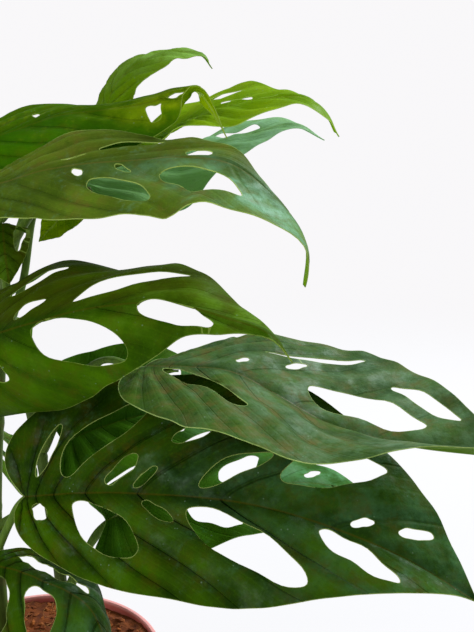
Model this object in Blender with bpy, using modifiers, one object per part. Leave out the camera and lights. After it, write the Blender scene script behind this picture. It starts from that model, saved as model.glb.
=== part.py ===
"""A Swiss cheese vine (Monstera adansonii) growing in a plain round nursery pot.

The origin is the centre of the pot's flat bottom, +Z is up, and the long lower leaf
points to +X. Lengths below are in millimetres and become metres through MM.
"""

import math

import bmesh
import bpy
import numpy as np
from mathutils import Matrix, Vector, geometry, noise

MM = 0.001
CLEARANCE = 0.3
SMOOTH_ANGLE = 40

# The pot: a thin moulded wall with a collar round its mouth and holes in its floor. Inside,
# the wall steps out between the two heights of COLLAR_FLARE above the collar's lower edge.
POT_HEIGHT = 108.5
POT_MOUTH_RADIUS = 62.0
POT_FOOT_RADIUS = 47.0
POT_WALL = 2.0
POT_FLOOR = 3.0
COLLAR_HEIGHT = 22.0
COLLAR_STEP = 2.5
COLLAR_FLARE = (4.0, 7.0)
POT_SIDES = 36
DRAIN_HOLES = 4
DRAIN_RADIUS = 4.0
DRAIN_CIRCLE = 30.0
CUT_PAST = 2.0

# The soil: a lumpy top a little below the collar's edge.
SOIL_TOP = 105.0
SOIL_LUMP = 2.2
SOIL_LUMP_SIZE = 11.0
SOIL_RINGS = 5

# The stems stand this deep in plain holes, and are straight until a little above the soil.
STEM_DEPTH = 28.0
STEM_STRAIGHT = 20.0
STEM_RADIUS = 3.2
STEM_TIP_RADIUS = 2.4
STEM_STEP = 16.0
ROUND_SIDES = 12

# The leaves: a thin blade on a round stalk that runs a little way under the midrib.
BLADE_THICKNESS = 0.8
STALK_ROOT_RADIUS = 2.3
STALK_TOP_RADIUS = 1.5
STALK_STEP = 15.0
STALK_UNDER_BLADE = 0.10
MARGIN_STEPS = 20
MARGIN_CROWDING = 1.5
HOLE_STEPS = 10
RIB_STEPS = 10
INNER_ROWS = (0.36, 0.70)
INNER_CLEARANCE = 3.0
SAME_POINT = 0.001
# A blade's form: where it is widest, how round its base and how long its tip is, how far
# its base lobes reach back, and how much its side veins sweep to the tip.
PLAIN_SHAPE = (0.36, 0.62, 1.12, 2.5, 2.1)
BACK_LOBE_FADE = 5
SLOPE_STEP = 0.01
VEIN_CURVE = 1.3
WAVES = 2.5
WAVE_SHIFT = 1.3

# How finely a path is followed, and the share of it that its direction is taken over.
PATH_SAMPLES = 24
PATH_REACH = 0.05

GREEN_DARK = (0.035, 0.105, 0.030, 1)
GREEN_STALK = (0.130, 0.210, 0.035, 1)
SOIL_BROWN = (0.160, 0.060, 0.025, 1)
POT_RED = (0.430, 0.110, 0.085, 1)

# Each stem: where it stands, then the points that it climbs through.
STEMS = {
    "stem_front": ((-18, -12), ((-20, -14, 150), (-27, -16, 200), (-35, -15, 236))),
    "stem_right": ((14, 2), ((10, 12, 160), (0, 27, 212), (-15, 47, 262), (-22, 52, 330))),
    "stem_back": ((-26, 34), ((-28, 42, 170), (-25, 55, 240), (-19, 62, 314))),
    "stem_left": ((-32, 12), ((-36, 14, 160), (-44, 18, 225), (-50, 20, 275))),
}

# A hole: the place where it starts and the place where it ends, each as a side vein, counted
# from 0 at the stalk to 1 at the tip, and a share of the way out; then its width.
HOLES_A = ((0.32, 0.18, 0.32, 0.72, 9), (0.52, 0.14, 0.52, 0.80, 13), (0.74, 0.18, 0.74, 0.74, 9))
HOLES_B = ((0.24, 0.25, 0.24, 0.60, 5), (0.42, 0.16, 0.42, 0.78, 12), (0.63, 0.14, 0.63, 0.78, 12),
           (0.82, 0.30, 0.82, 0.72, 5))
HOLES_FEW = ((0.35, 0.22, 0.35, 0.66, 6), (0.58, 0.16, 0.58, 0.74, 9))

# Each leaf: the stem and the height that it grows from, the bend of its stalk, its midrib
# from stalk to tip, the direction of its right half at both ends, the half widths, how far
# each half is folded up and how it curves down, in degrees, and its bands and holes.
LEAVES = {
    "leaf_front_low": dict(
        stem="stem_front", height=150, bend=((-12, -13, 176),),
        rib=((2, -15, 203), (32, -24, 209), (62, -32, 212), (100, -40, 212), (135, -48, 206),
             (168, -54, 194), (201, -58, 175)),
        side=((0.10, -0.67, -0.74), (0.20, -0.85, -0.50)),
        width=(42, 58), fold=(16, 20), tip_fold=(12, 17), droop=(16, 11), wave=(3.2, 3.0), phase=1.2,
        right_shape=(0.59, 1.08, 1.3, 1.6, 3.2),
        left_shape=(0.58, 0.93, 0.97, 2.4, 3.2),
        right=((0.31, 0.10, 0.31, 0.29, 6), (0.50, 0.11, 0.50, 0.60, 15), (0.66, 0.10, 0.66, 0.33, 5),
               (0.71, 0.21, 0.71, 0.90, 17), (0.86, 0.24, 0.86, 0.90, 12)),
        left=((0.29, 0.17, 0.29, 0.61, 5), (0.44, 0.14, 0.44, 0.71, 14), (0.59, 0.07, 0.59, 0.29, 8),
              (0.65, 0.05, 0.65, 0.22, 4), (0.61, 0.42, 0.61, 0.67, 7), (0.74, 0.10, 0.74, 0.51, 7),
              (0.79, 0.36, 0.79, 0.90, 15), (0.89, 0.18, 0.89, 0.42, 4), (0.91, 0.48, 0.91, 0.84, 6)),
    ),
    "leaf_right_middle": dict(
        stem="stem_right", height=208, bend=((22, 18, 248), (38, 8, 262)),
        rib=((58, -9, 264), (78, -14, 265), (98, -19, 264), (118, -25, 255), (141, -32, 244),
             (173, -40, 238), (210, -48, 236)),
        side=((-0.46, -0.89, 0.0), (-0.16, -0.97, -0.16)),
        width=(47, 52), fold=(-5, 2), tip_fold=(44, 25), droop=(8, 6), wave=(1.3, 1.0), phase=0.5,
        right_shape=(0.25, 0.87, 0.92, 2.0, 3.2),
        left_shape=(0.27, 1.0, 0.92, 0.4, 3.2),
        right=((0.42, 0.05, 0.59, 0.52, 9),),
        left=((0.62, 0.14, 0.62, 0.22, 3), (0.57, 0.42, 0.64, 0.88, 5), (0.65, 0.38, 0.64, 0.52, 3),
              (0.74, 0.28, 0.91, 0.48, 17), (0.78, 0.78, 0.93, 0.80, 8)),
    ),
    "leaf_front_middle": dict(
        stem="stem_front", height=212, bend=((-38, -20, 246),),
        rib=((-23, -20, 276), (-1, -26, 284), (32, -36, 295), (53, -44, 300), (78, -54, 302),
             (98, -64, 298), (113, -70, 293), (121, -74, 284)),
        side=((0.03, -0.82, -0.57), (0.08, -0.99, -0.13)),
        width=(36, 36), fold=(-36, 3), tip_fold=(-13, 0), droop=(30, 13), wave=(0.5, 2.0), phase=6.0,
        right_shape=(0.48, 0.73, 1.85, 3.8, 3.2),
        left_shape=(0.64, 0.42, 1.4, 1.6, 3.2),
        right=((0.38, 0.15, 0.38, 0.51, 8), (0.62, 0.13, 0.62, 0.88, 20), (0.83, 0.08, 0.83, 0.88, 9)),
        left=((0.39, 0.39, 0.39, 0.77, 6), (0.56, 0.12, 0.56, 0.35, 6), (0.68, 0.25, 0.68, 0.90, 14)),
    ),
    "leaf_front_upper": dict(
        stem="stem_right", height=298, bend=((-21, 28, 326),),
        rib=((-23, -5, 340), (-1, -12, 346), (25, -20, 353), (61, -34, 357), (82, -42, 358),
             (100, -50, 355), (118, -58, 340), (126, -62, 327), (126, -64, 311)),
        side=((0.0, -0.85, -0.52), (0.08, -0.97, -0.24)),
        width=(31, 32), fold=(-9, -2), tip_fold=(-6, -9), droop=(4, 2), wave=(1.2, 3.0), phase=5.0,
        right_shape=(0.41, 1.0, 0.65, 1.6, 3.2),
        left_shape=(0.37, 1.5, 2.5, 0.5, 3.2),
        right=((0.68, 0.30, 0.68, 0.74, 9), (0.69, 0.07, 0.69, 0.19, 3), (0.76, 0.05, 0.76, 0.24, 3),
               (0.79, 0.32, 0.86, 0.70, 12)),
        left=((0.55, 0.58, 0.55, 0.88, 5), (0.60, 0.28, 0.60, 0.42, 3), (0.75, 0.58, 0.75, 0.72, 3)),
    ),
    "leaf_top_left": dict(
        stem="stem_right", height=312, bend=((-34, 48, 338),),
        rib=((-44, 42, 357), (-12, 35, 365), (18, 27, 374), (53, 14, 378), (73, 1, 383),
             (83, -8, 384), (90, -16, 376), (96, -21, 365)),
        side=((0.23, -0.71, -0.67), (0.57, -0.80, -0.20)),
        width=(31, 32), fold=(15, -14), tip_fold=(-16, -32), droop=(6, 11), wave=(1.4, 3.8), phase=5.6,
        right_shape=(0.37, 0.95, 1.55, 0.3, 3.0),
        left_shape=(0.39, 0.68, 1.8, 1.1, 3.0),
        right=((0.80, 0.78, 0.855, 0.36, 9), (0.93, 0.14, 0.94, 0.46, 4)),
        left=((0.50, 0.52, 0.61, 0.38, 3), (0.89, 0.20, 0.92, 0.20, 3)),
    ),
    "leaf_top_right": dict(
        stem="stem_back", height=306, bend=((6, 48, 334),),
        rib=((49, 36, 357), (66, 32, 366), (88, 25, 376), (111, 16, 381), (128, 10, 382), (137, 6, 377),
             (145, 4, 365)),
        side=((0.04, -0.96, -0.26), (0.11, -0.94, -0.34)),
        width=(30, 37), fold=(20, 5), tip_fold=(-1, -13), droop=(3, 2), wave=(2.4, 2.4), phase=1.1,
        right_shape=(0.33, 0.71, 1.0, 1.8, 3.0),
        left_shape=(0.35, 1.3, 2.4, 1.0, 3.0),
        right=((0.60, 0.15, 0.60, 0.50, 3),),
        left=((0.52, 0.66, 0.58, 0.82, 4), (0.64, 0.50, 0.75, 0.52, 4), (0.79, 0.42, 0.83, 0.50, 3)),
    ),
    "leaf_top_upright": dict(
        stem="stem_back", height=288, bend=((-14, 80, 322), (0, 86, 350)),
        rib=((33, 66, 367), (35, 70, 382), (41, 74, 393), (55, 80, 403), (69, 86, 406), (81, 90, 405),
             (87, 92, 398)),
        side=((0.65, -0.75, -0.12), (0.24, -0.89, -0.39)),
        width=(21, 22), fold=(6, -1), droop=(7, 12), wave=(1.6, 1.6), phase=1.6,
        right_shape=(0.36, 0.62, 1.12, 2.4, 2.5),
        left_shape=(0.36, 0.62, 1.12, 2.4, 2.5),
        right=(),
        left=(),
    ),
    "leaf_back_upper": dict(
        stem="stem_back", height=254, bend=((-13, 65, 288), (-4, 66, 328)),
        rib=((14, 58, 342), (40, 64, 348), (70, 72, 355), (102, 80, 363), (128, 86, 369), (147, 90, 361)),
        side=((-0.05, -0.92, -0.38), (0.21, -0.93, -0.30)),
        width=(34, 37), fold=(1, -20), tip_fold=(9, 8), droop=(8, 11), wave=(3.0, 4.0), phase=4.2,
        right_shape=(0.50, 0.50, 1.65, 0.2, 3.0),
        left_shape=(0.50, 0.66, 1.3, 1.0, 3.0),
        right=((0.62, 0.30, 0.70, 0.76, 8),),
        left=((0.70, 0.72, 0.87, 0.50, 8),),
    ),
    "leaf_hanging_left": dict(
        stem="stem_right", height=272, bend=((-14, 34, 306),),
        rib=((-10, 20, 325), (-8, 14, 325), (-7, 10, 319), (-6, 8, 309), (-5, 8, 298)),
        side=((-0.94, -0.25, 0.10), (-0.96, -0.20, 0.10)),
        width=(19, 13), fold=(-10, -10), droop=(8, 8), wave=(1.0, 1.0), phase=0.0,
        right=HOLES_FEW,
        left=((0.30, 0.60, 0.68, 0.62, 5),),
    ),
    "leaf_hanging_right": dict(
        stem="stem_right", height=322, bend=((-6, 46, 334),),
        rib=((28, 36, 338), (21, 33, 332), (13, 30, 323), (5, 28, 315)),
        side=((0.55, -0.55, -0.60), (0.60, -0.50, -0.60)),
        width=(12, 12), fold=(-8, -8), droop=(6, 6), wave=(0.8, 0.8), phase=0.0,
        right=((0.40, 0.18, 0.70, 0.30, 2.5),),
        left=(),
    ),
    "leaf_over_rim": dict(
        stem="stem_front", height=118, bend=((-26, -24, 146),),
        rib=((-14, -28, 176), (0, -31, 175), (15, -35, 171), (28, -39, 167), (37, -43, 160), (42, -47, 149),
             (44, -51, 137)),
        side=((0.0, -0.93, -0.35), (-0.40, -0.85, 0.10)),
        width=(34, 28), fold=(-8, -12), tip_fold=(-10, -16), droop=(24, 12), wave=(3.0, 2.0), phase=1.0,
        right_shape=(0.42, 0.8, 0.9, 1.6, 2.6),
        left_shape=(0.46, 0.75, 0.9, 1.2, 2.6),
        right=((0.36, 0.16, 0.36, 0.90, 13), (0.64, 0.12, 0.64, 0.88, 14)),
        left=((0.36, 0.36, 0.76, 0.44, 8),),
    ),
    "leaf_back_low": dict(
        stem="stem_back", height=160, bend=((8, 30, 190),),
        rib=((12, 26, 214), (36, 30, 222), (60, 36, 226), (84, 43, 222), (102, 50, 212), (112, 55, 200)),
        side=((0.0, -0.90, -0.42), (0.2, -0.90, -0.36)),
        width=(33, 44), fold=(-4, 40), tip_fold=(-4, 10), droop=(8, 8), wave=(2.0, 1.5), phase=2.4,
        right_shape=(0.22, 0.62, 2.0, 2.5, 2.1),
        right=((0.62, 0.20, 0.62, 0.80, 8),),
        left=HOLES_B,
    ),
    "leaf_back_right": dict(
        stem="stem_right", height=136, bend=((24, 4, 162),),
        rib=((35, 10, 179), (66, 15, 188), (104, 24, 192), (136, 32, 189), (160, 40, 182), (176, 46, 170)),
        side=((0.0, -0.92, -0.38), (0.2, -0.92, -0.30)),
        width=(32, 38), fold=(-4, -4), droop=(8, 8), wave=(2.0, 2.0), phase=0.2,
        right=HOLES_A,
        left=HOLES_B,
    ),
    "leaf_left_low": dict(
        stem="stem_left", height=140, bend=((-50, 8, 160),),
        rib=((-66, 2, 172), (-92, -6, 180), (-124, -14, 180), (-154, -22, 170), (-178, -28, 152)),
        side=((0.0, 0.88, -0.30), (-0.1, 0.90, -0.30)),
        width=(46, 46), fold=(-4, -4), droop=(8, 8), wave=(2.5, 2.5), phase=3.6,
        right=HOLES_A,
        left=HOLES_B,
    ),
    "leaf_left_middle": dict(
        stem="stem_left", height=190, bend=((-62, 26, 212),),
        rib=((-76, 32, 224), (-104, 40, 232), (-134, 48, 232), (-160, 56, 222), (-180, 62, 204)),
        side=((0.2, 0.90, -0.30), (0.1, 0.92, -0.30)),
        width=(44, 44), fold=(-5, -5), droop=(8, 8), wave=(2.5, 2.5), phase=5.0,
        right=HOLES_A,
        left=HOLES_B,
    ),
    "leaf_left_upper": dict(
        stem="stem_left", height=240, bend=((-62, 8, 268),),
        rib=((-74, 0, 284), (-98, -10, 296), (-126, -20, 300), (-150, -28, 292), (-168, -34, 274)),
        side=((-0.2, 0.90, -0.28), (-0.1, 0.92, -0.30)),
        width=(42, 42), fold=(-6, -6), droop=(8, 8), wave=(2.5, 2.5), phase=0.7,
        right=HOLES_A,
        left=HOLES_B,
    ),
    "leaf_back_left": dict(
        stem="stem_left", height=165, bend=((-46, 42, 186),),
        rib=((-42, 60, 204), (-47, 88, 196), (-55, 115, 192), (-62, 141, 182), (-68, 160, 164)),
        side=((0.92, 0.20, -0.20), (0.92, 0.20, -0.20)),
        width=(44, 44), fold=(-38, -5), tip_fold=(-5, -5), droop=(8, 8), wave=(2.5, 2.5), phase=1.9,
        right=HOLES_A,
        left=HOLES_B,
    ),
    "leaf_back_middle": dict(
        stem="stem_back", height=215, bend=((-34, 62, 244),),
        rib=((-45, 74, 258), (-53, 98, 266), (-63, 124, 264), (-73, 146, 250), (-81, 162, 230)),
        side=((0.90, 0.36, -0.16), (0.90, 0.36, -0.16)),
        width=(38, 42), fold=(-5, -5), droop=(8, 8), wave=(2.5, 2.5), phase=2.7,
        right=HOLES_A,
        left=HOLES_B,
    ),
    "leaf_back_top": dict(
        stem="stem_left", height=262, bend=((-54, 44, 302),),
        rib=((-60, 60, 322), (-68, 84, 334), (-77, 110, 336), (-84, 132, 326), (-89, 150, 306)),
        side=((0.90, 0.30, -0.20), (0.92, 0.26, -0.20)),
        width=(40, 40), fold=(-5, -5), droop=(8, 8), wave=(2.5, 2.5), phase=4.4,
        right=HOLES_A,
        left=HOLES_B,
    ),
}


def clear_scene():
    for leftover in list(bpy.data.objects):
        bpy.data.objects.remove(leftover, do_unlink=True)


def new_collection(name):
    collection = bpy.data.collections.new(name)
    bpy.context.scene.collection.children.link(collection)
    return collection


def principled(name, colour, roughness):
    material = bpy.data.materials.new(name)
    material.use_nodes = True
    shader = material.node_tree.nodes["Principled BSDF"]
    shader.inputs["Base Color"].default_value = colour
    shader.inputs["Roughness"].default_value = roughness
    return material


def add_object(name, mesh, collection, material):
    part = bpy.data.objects.new(name, mesh)
    part.data.materials.append(material)
    collection.objects.link(part)
    return part


def baked(part):
    """Replaces an object's data by its evaluated mesh, with the modifiers in it."""
    bpy.context.view_layer.update()
    evaluated = part.evaluated_get(bpy.context.evaluated_depsgraph_get())
    mesh = bpy.data.meshes.new_from_object(evaluated)
    part.modifiers.clear()
    part.data = mesh
    return part


def boolean(part, other, operation):
    modifier = part.modifiers.new(operation.title(), "BOOLEAN")
    modifier.operation = operation
    modifier.object = other
    modifier.solver = "EXACT"
    return baked(part)


class Path:
    """A smooth curve through a list of points, read by the length along it."""

    def __init__(self, points):
        given = np.array(points, float)
        ends = np.vstack([2 * given[0] - given[1], given, 2 * given[-1] - given[-2]])
        steps = np.linspace(0, 1, PATH_SAMPLES, endpoint=False)
        found = []
        for before, start, end, after in zip(ends, ends[1:], ends[2:], ends[3:]):
            for t in steps:
                found.append(
                    0.5 * (2 * start + (end - before) * t
                           + (2 * before - 5 * start + 4 * end - after) * t**2
                           + (3 * start - 3 * end + after - before) * t**3)
                )
        found.append(given[-1])
        self.points = np.array(found)
        lengths = np.linalg.norm(np.diff(self.points, axis=0), axis=1)
        self.reach = np.concatenate([[0], np.cumsum(lengths)])
        self.length = self.reach[-1]

    def at(self, distance):
        inside = min(max(distance, 0), self.length)
        point = Vector([np.interp(inside, self.reach, self.points[:, axis]) for axis in range(3)])
        return point + self.direction(inside) * (distance - inside)

    def direction(self, distance):
        half = PATH_REACH * self.length
        start = max(distance - half, 0)
        end = min(distance + half, self.length)
        ends = [
            Vector([np.interp(place, self.reach, self.points[:, axis]) for axis in range(3)])
            for place in (start, end)
        ]
        return (ends[1] - ends[0]).normalized()

    def distance_at_height(self, height):
        return float(np.interp(height, self.points[:, 2], self.reach))


def tube(name, points, radii, collection, material, resolution=1):
    """A closed tube through points, in millimetres, as a mesh object."""
    curve = bpy.data.curves.new(name, "CURVE")
    curve.dimensions = "3D"
    curve.bevel_depth = MM
    curve.bevel_resolution = resolution
    curve.use_fill_caps = True
    spline = curve.splines.new("POLY")
    spline.points.add(len(points) - 1)
    for knot, place, radius in zip(spline.points, points, radii):
        knot.co = (*(place * MM), 1)
        knot.radius = radius
    route = bpy.data.objects.new(name, curve)
    collection.objects.link(route)
    bpy.context.view_layer.update()
    evaluated = route.evaluated_get(bpy.context.evaluated_depsgraph_get())
    mesh = bpy.data.meshes.new_from_object(evaluated)
    bpy.data.objects.remove(route, do_unlink=True)
    bpy.data.curves.remove(curve)
    shape = bmesh.new()
    shape.from_mesh(mesh)
    bmesh.ops.remove_doubles(shape, verts=shape.verts, dist=0.01 * MM)
    bmesh.ops.recalc_face_normals(shape, faces=shape.faces)
    shape.to_mesh(mesh)
    shape.free()
    mesh.materials.clear()
    return add_object(name, mesh, collection, material)


def stem_path(name):
    foot, climb = STEMS[name]
    buried = [(*foot, SOIL_TOP - STEM_DEPTH), (*foot, SOIL_TOP), (*foot, SOIL_TOP + STEM_STRAIGHT)]
    return Path(buried + list(climb))


def stem_tube(name, extra, collection, material):
    path = stem_path(name)
    count = math.ceil(path.length / STEM_STEP)
    points = [path.at(path.length * i / count) for i in range(count + 1)]
    radii = [STEM_RADIUS + (STEM_TIP_RADIUS - STEM_RADIUS) * i / count + extra for i in range(count + 1)]
    return tube(name, points, radii, collection, material, resolution=2)


def on_blade(t, v, length, width, shape):
    """A point of the flat half blade: t picks the side vein, v runs from midrib to margin."""
    widest, roundness, taper, lobe, sweep = shape
    root = length * t**sweep
    along = length * (t - lobe * t * (1 - t) ** BACK_LOBE_FADE)
    spread = (t / widest) ** roundness * ((1 - t) / (1 - widest)) ** taper
    return Vector((root + (along - root) * v**VEIN_CURVE, width * spread * v))


def outline(length, width, shape):
    """Half the margin, from the stalk to the tip, closer spaced at the stalk."""
    steps = [(i / MARGIN_STEPS) ** MARGIN_CROWDING for i in range(MARGIN_STEPS + 1)]
    return [on_blade(t, 1, length, width, shape) for t in steps]


def hole_outline(hole, length, width, shape):
    """An ellipse drawn between its two ends, which mostly lie on one side vein."""
    start_t, start_v, end_t, end_v, across = hole
    points = []
    for i in range(HOLE_STEPS):
        angle = math.tau * i / HOLE_STEPS
        share = 0.5 - 0.5 * math.cos(angle)
        near, here, far = [
            on_blade(start_t + (end_t - start_t) * s, start_v + (end_v - start_v) * s, length, width, shape)
            for s in (share - SLOPE_STEP, share, share + SLOPE_STEP)
        ]
        square = Vector((near.y - far.y, far.x - near.x)).normalized()
        points.append(here + square * (across / 2 * math.sin(angle)))
    return points


def flat_blade(leaf, length):
    """Triangles of the flat blade, the left half at negative y, with its holes left open."""
    halves = []
    for sign, side, width in zip((1, -1), ("right", "left"), leaf["width"]):
        form = leaf.get(side + "_shape", PLAIN_SHAPE)
        halves.append((sign, width, form, leaf[side]))
    right, left = [
        [Vector((p.x, sign * p.y)) for p in outline(length, width, form)] for sign, width, form, _ in halves
    ]
    loops = [right[:-1] + left[:0:-1]]
    for sign, width, form, holes in halves:
        for hole in holes:
            loop = hole_outline(hole, length, width, form)
            loops.append([Vector((p.x, sign * p.y)) for p in loop])
    points = []
    faces = []
    for loop in loops:
        first = len(points)
        points.extend(loop)
        turn = sum(a.x * b.y - a.y * b.x for a, b in zip(loop, loop[1:] + loop[:1]))
        around = list(range(first, len(points)))
        faces.append(around if turn > 0 else around[::-1])
    border = list(points)
    rib = [0]
    for i in range(1, RIB_STEPS):
        rib.append(len(points))
        points.append(Vector((length * i / RIB_STEPS, 0)))
    rib.append(MARGIN_STEPS)
    for sign, width, form, _ in halves:
        for v in INNER_ROWS:
            for i in range(1, RIB_STEPS):
                inner = on_blade((i - 0.5 * v) / RIB_STEPS, v, length, width, form)
                inner.y *= sign
                if min((inner - p).length for p in border) > INNER_CLEARANCE:
                    points.append(inner)
    found = geometry.delaunay_2d_cdt(points, list(zip(rib, rib[1:])), faces, 1, SAME_POINT)
    kept = [face for face, inside in zip(found[2], found[5]) if inside == [0]]
    return found[0], kept


def blade_point(leaf, rib, place):
    """Bends a flat point into place: the midrib's curve, then fold, droop and wave."""
    along, out = place.x, abs(place.y)
    which = 0 if place.y > 0 else 1
    sign = 1 if place.y > 0 else -1
    share = min(max(along / rib.length, 0), 1)
    forward = rib.direction(along)
    right = Vector(leaf["side"][0]).lerp(Vector(leaf["side"][1]), share)
    right = (right - forward * right.dot(forward)).normalized()
    up = right.cross(forward)
    tip_fold = leaf.get("tip_fold", leaf["fold"])[which]
    fold = math.radians(leaf["fold"][which] * (1 - share) + tip_fold * share)
    curl = math.radians(leaf["droop"][which]) / leaf["width"][which] * 2
    turned = fold - curl * out
    across = (math.sin(fold) - math.sin(turned)) / curl
    lift = (math.cos(turned) - math.cos(fold)) / curl
    edge = (out / leaf["width"][which]) ** 2
    swing = math.sin(WAVES * share * math.tau + leaf["phase"] + WAVE_SHIFT * sign)
    ripple = leaf["wave"][which] * edge * swing
    return rib.at(along) + right * (sign * across) + up * (lift + ripple)


def blade(name, leaf, collection, material):
    """A blade with its holes, bent into place and then given a thickness."""
    rib = Path(leaf["rib"])
    flat, faces = flat_blade(leaf, rib.length)
    shape = bmesh.new()
    corners = {}
    for face in faces:
        for i in face:
            if i not in corners:
                corners[i] = shape.verts.new(blade_point(leaf, rib, flat[i]) * MM)
        shape.faces.new([corners[i] for i in face])
    mesh = bpy.data.meshes.new(name)
    shape.to_mesh(mesh)
    shape.free()
    part = add_object(name, mesh, collection, material)
    solid = part.modifiers.new("Solidify", "SOLIDIFY")
    solid.thickness = BLADE_THICKNESS * MM
    solid.offset = 0
    return baked(part)


def stalk(name, leaf, collection, material):
    """The stalk: from the stem, through its bend, to just under the blade's base."""
    stem = stem_path(leaf["stem"])
    rib = Path(leaf["rib"])
    root = stem.at(stem.distance_at_height(leaf["height"]))
    under = rib.length * STALK_UNDER_BLADE
    route = Path([root, *leaf["bend"], leaf["rib"][0], rib.at(under)])
    count = math.ceil(route.length / STALK_STEP)
    points = [route.at(route.length * i / count) for i in range(count + 1)]
    radii = [
        STALK_ROOT_RADIUS + (STALK_TOP_RADIUS - STALK_ROOT_RADIUS) * i / count for i in range(count + 1)
    ]
    return tube(name + "_stalk", points, radii, collection, material)


def make_leaf(name, leaf, stem_cutters, parts, cutters, material):
    part = blade(name, leaf, parts, material)
    support = stalk(name, leaf, cutters, material)
    boolean(part, support, "UNION")
    boolean(part, stem_cutters[leaf["stem"]], "DIFFERENCE")
    bpy.data.objects.remove(support, do_unlink=True)
    return part


def turned(name, profile, sides, collection, material):
    """A body turned about Z from a profile that runs down its outer side."""
    mesh = bpy.data.meshes.new(name)
    points = [(radius * MM, 0, height * MM) for radius, height in profile]
    edges = [(i, i + 1) for i in range(len(points) - 1)]
    mesh.from_pydata(points, edges, [])
    part = add_object(name, mesh, collection, material)
    screw = part.modifiers.new("Screw", "SCREW")
    screw.steps = sides
    screw.render_steps = sides
    screw.use_merge_vertices = True
    screw.merge_threshold = 0.01 * MM
    return baked(part)


def cylinder(name, radius, low, high, x, y, sides, collection):
    shape = bmesh.new()
    bmesh.ops.create_cone(
        shape, cap_ends=True, segments=sides, radius1=radius * MM, radius2=radius * MM,
        depth=(high - low) * MM, matrix=Matrix.Translation(Vector((x, y, (low + high) / 2)) * MM),
    )
    mesh = bpy.data.meshes.new(name)
    shape.to_mesh(mesh)
    shape.free()
    cutter = bpy.data.objects.new(name, mesh)
    collection.objects.link(cutter)
    return cutter


def make_pot(parts, cutters, material):
    collar_low = POT_HEIGHT - COLLAR_HEIGHT
    wall = POT_MOUTH_RADIUS - COLLAR_STEP
    profile = (
        (0, POT_FLOOR),
        (POT_FOOT_RADIUS - POT_WALL, POT_FLOOR),
        (wall - POT_WALL, collar_low + COLLAR_FLARE[0]),
        (POT_MOUTH_RADIUS - POT_WALL, collar_low + COLLAR_FLARE[1]),
        (POT_MOUTH_RADIUS - POT_WALL, POT_HEIGHT),
        (POT_MOUTH_RADIUS, POT_HEIGHT),
        (POT_MOUTH_RADIUS, collar_low),
        (wall, collar_low),
        (POT_FOOT_RADIUS, 0),
        (0, 0),
    )
    pot = turned("pot", profile, POT_SIDES, parts, material)
    for i in range(DRAIN_HOLES):
        angle = math.tau * i / DRAIN_HOLES
        x = DRAIN_CIRCLE * math.cos(angle)
        y = DRAIN_CIRCLE * math.sin(angle)
        drain = cylinder("drain", DRAIN_RADIUS, -CUT_PAST, POT_FLOOR + CUT_PAST, x, y, ROUND_SIDES, cutters)
        boolean(pot, drain, "DIFFERENCE")
        bpy.data.objects.remove(drain, do_unlink=True)
    return pot


def make_soil(parts, cutters, material):
    collar_low = POT_HEIGHT - COLLAR_HEIGHT
    low = POT_FLOOR + CLEARANCE
    gap = POT_WALL + 2 * CLEARANCE
    wall = POT_MOUTH_RADIUS - COLLAR_STEP
    edge = POT_MOUTH_RADIUS - gap
    slope = (wall - POT_FOOT_RADIUS) / collar_low
    top = [(edge * i / SOIL_RINGS, SOIL_TOP) for i in range(SOIL_RINGS + 1)]
    side = [
        (edge, collar_low + COLLAR_FLARE[1]),
        (wall - gap, collar_low + COLLAR_FLARE[0]),
        (POT_FOOT_RADIUS - gap + slope * low, low),
        (0, low),
    ]
    soil = turned("soil", top + side, POT_SIDES, parts, material)
    for vertex in soil.data.vertices:
        if vertex.co.z > (SOIL_TOP - CLEARANCE) * MM:
            where = Vector((vertex.co.x, vertex.co.y, 0)) / (SOIL_LUMP_SIZE * MM)
            vertex.co.z += SOIL_LUMP * MM * noise.noise(where)
    for foot, _ in STEMS.values():
        radius = (STEM_RADIUS + CLEARANCE) / math.cos(math.pi / ROUND_SIDES)
        bottom = SOIL_TOP - STEM_DEPTH - CLEARANCE
        hole = cylinder("stem_hole", radius, bottom, POT_HEIGHT, *foot, ROUND_SIDES, cutters)
        boolean(soil, hole, "DIFFERENCE")
        bpy.data.objects.remove(hole, do_unlink=True)
    return soil


def smooth(part):
    """Shades a part smooth, with its sharp corners kept."""
    part.data.shade_smooth()
    part.data.set_sharp_from_angle(angle=math.radians(SMOOTH_ANGLE))


def main():
    clear_scene()
    parts = new_collection("monstera_adansonii")
    cutters = new_collection("cutters")
    green = principled("leaf_green", GREEN_DARK, 0.38)
    stalk_green = principled("stem_green", GREEN_STALK, 0.45)
    make_pot(parts, cutters, principled("pot_red", POT_RED, 0.5))
    make_soil(parts, cutters, principled("soil_brown", SOIL_BROWN, 0.95))
    stem_cutters = {}
    for name in STEMS:
        stem_tube(name, 0, parts, stalk_green)
        cutter = stem_tube(name, CLEARANCE, cutters, stalk_green)
        cutter.name = name + "_clearance"
        cutter.hide_render = True
        cutter.display_type = "WIRE"
        stem_cutters[name] = cutter
    for name, leaf in LEAVES.items():
        make_leaf(name, leaf, stem_cutters, parts, cutters, green)
    for part in parts.objects:
        smooth(part)


main()
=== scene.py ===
import math
import random

import bmesh
import bpy
import numpy as np
from mathutils import Matrix, Vector, geometry, kdtree, noise


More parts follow.
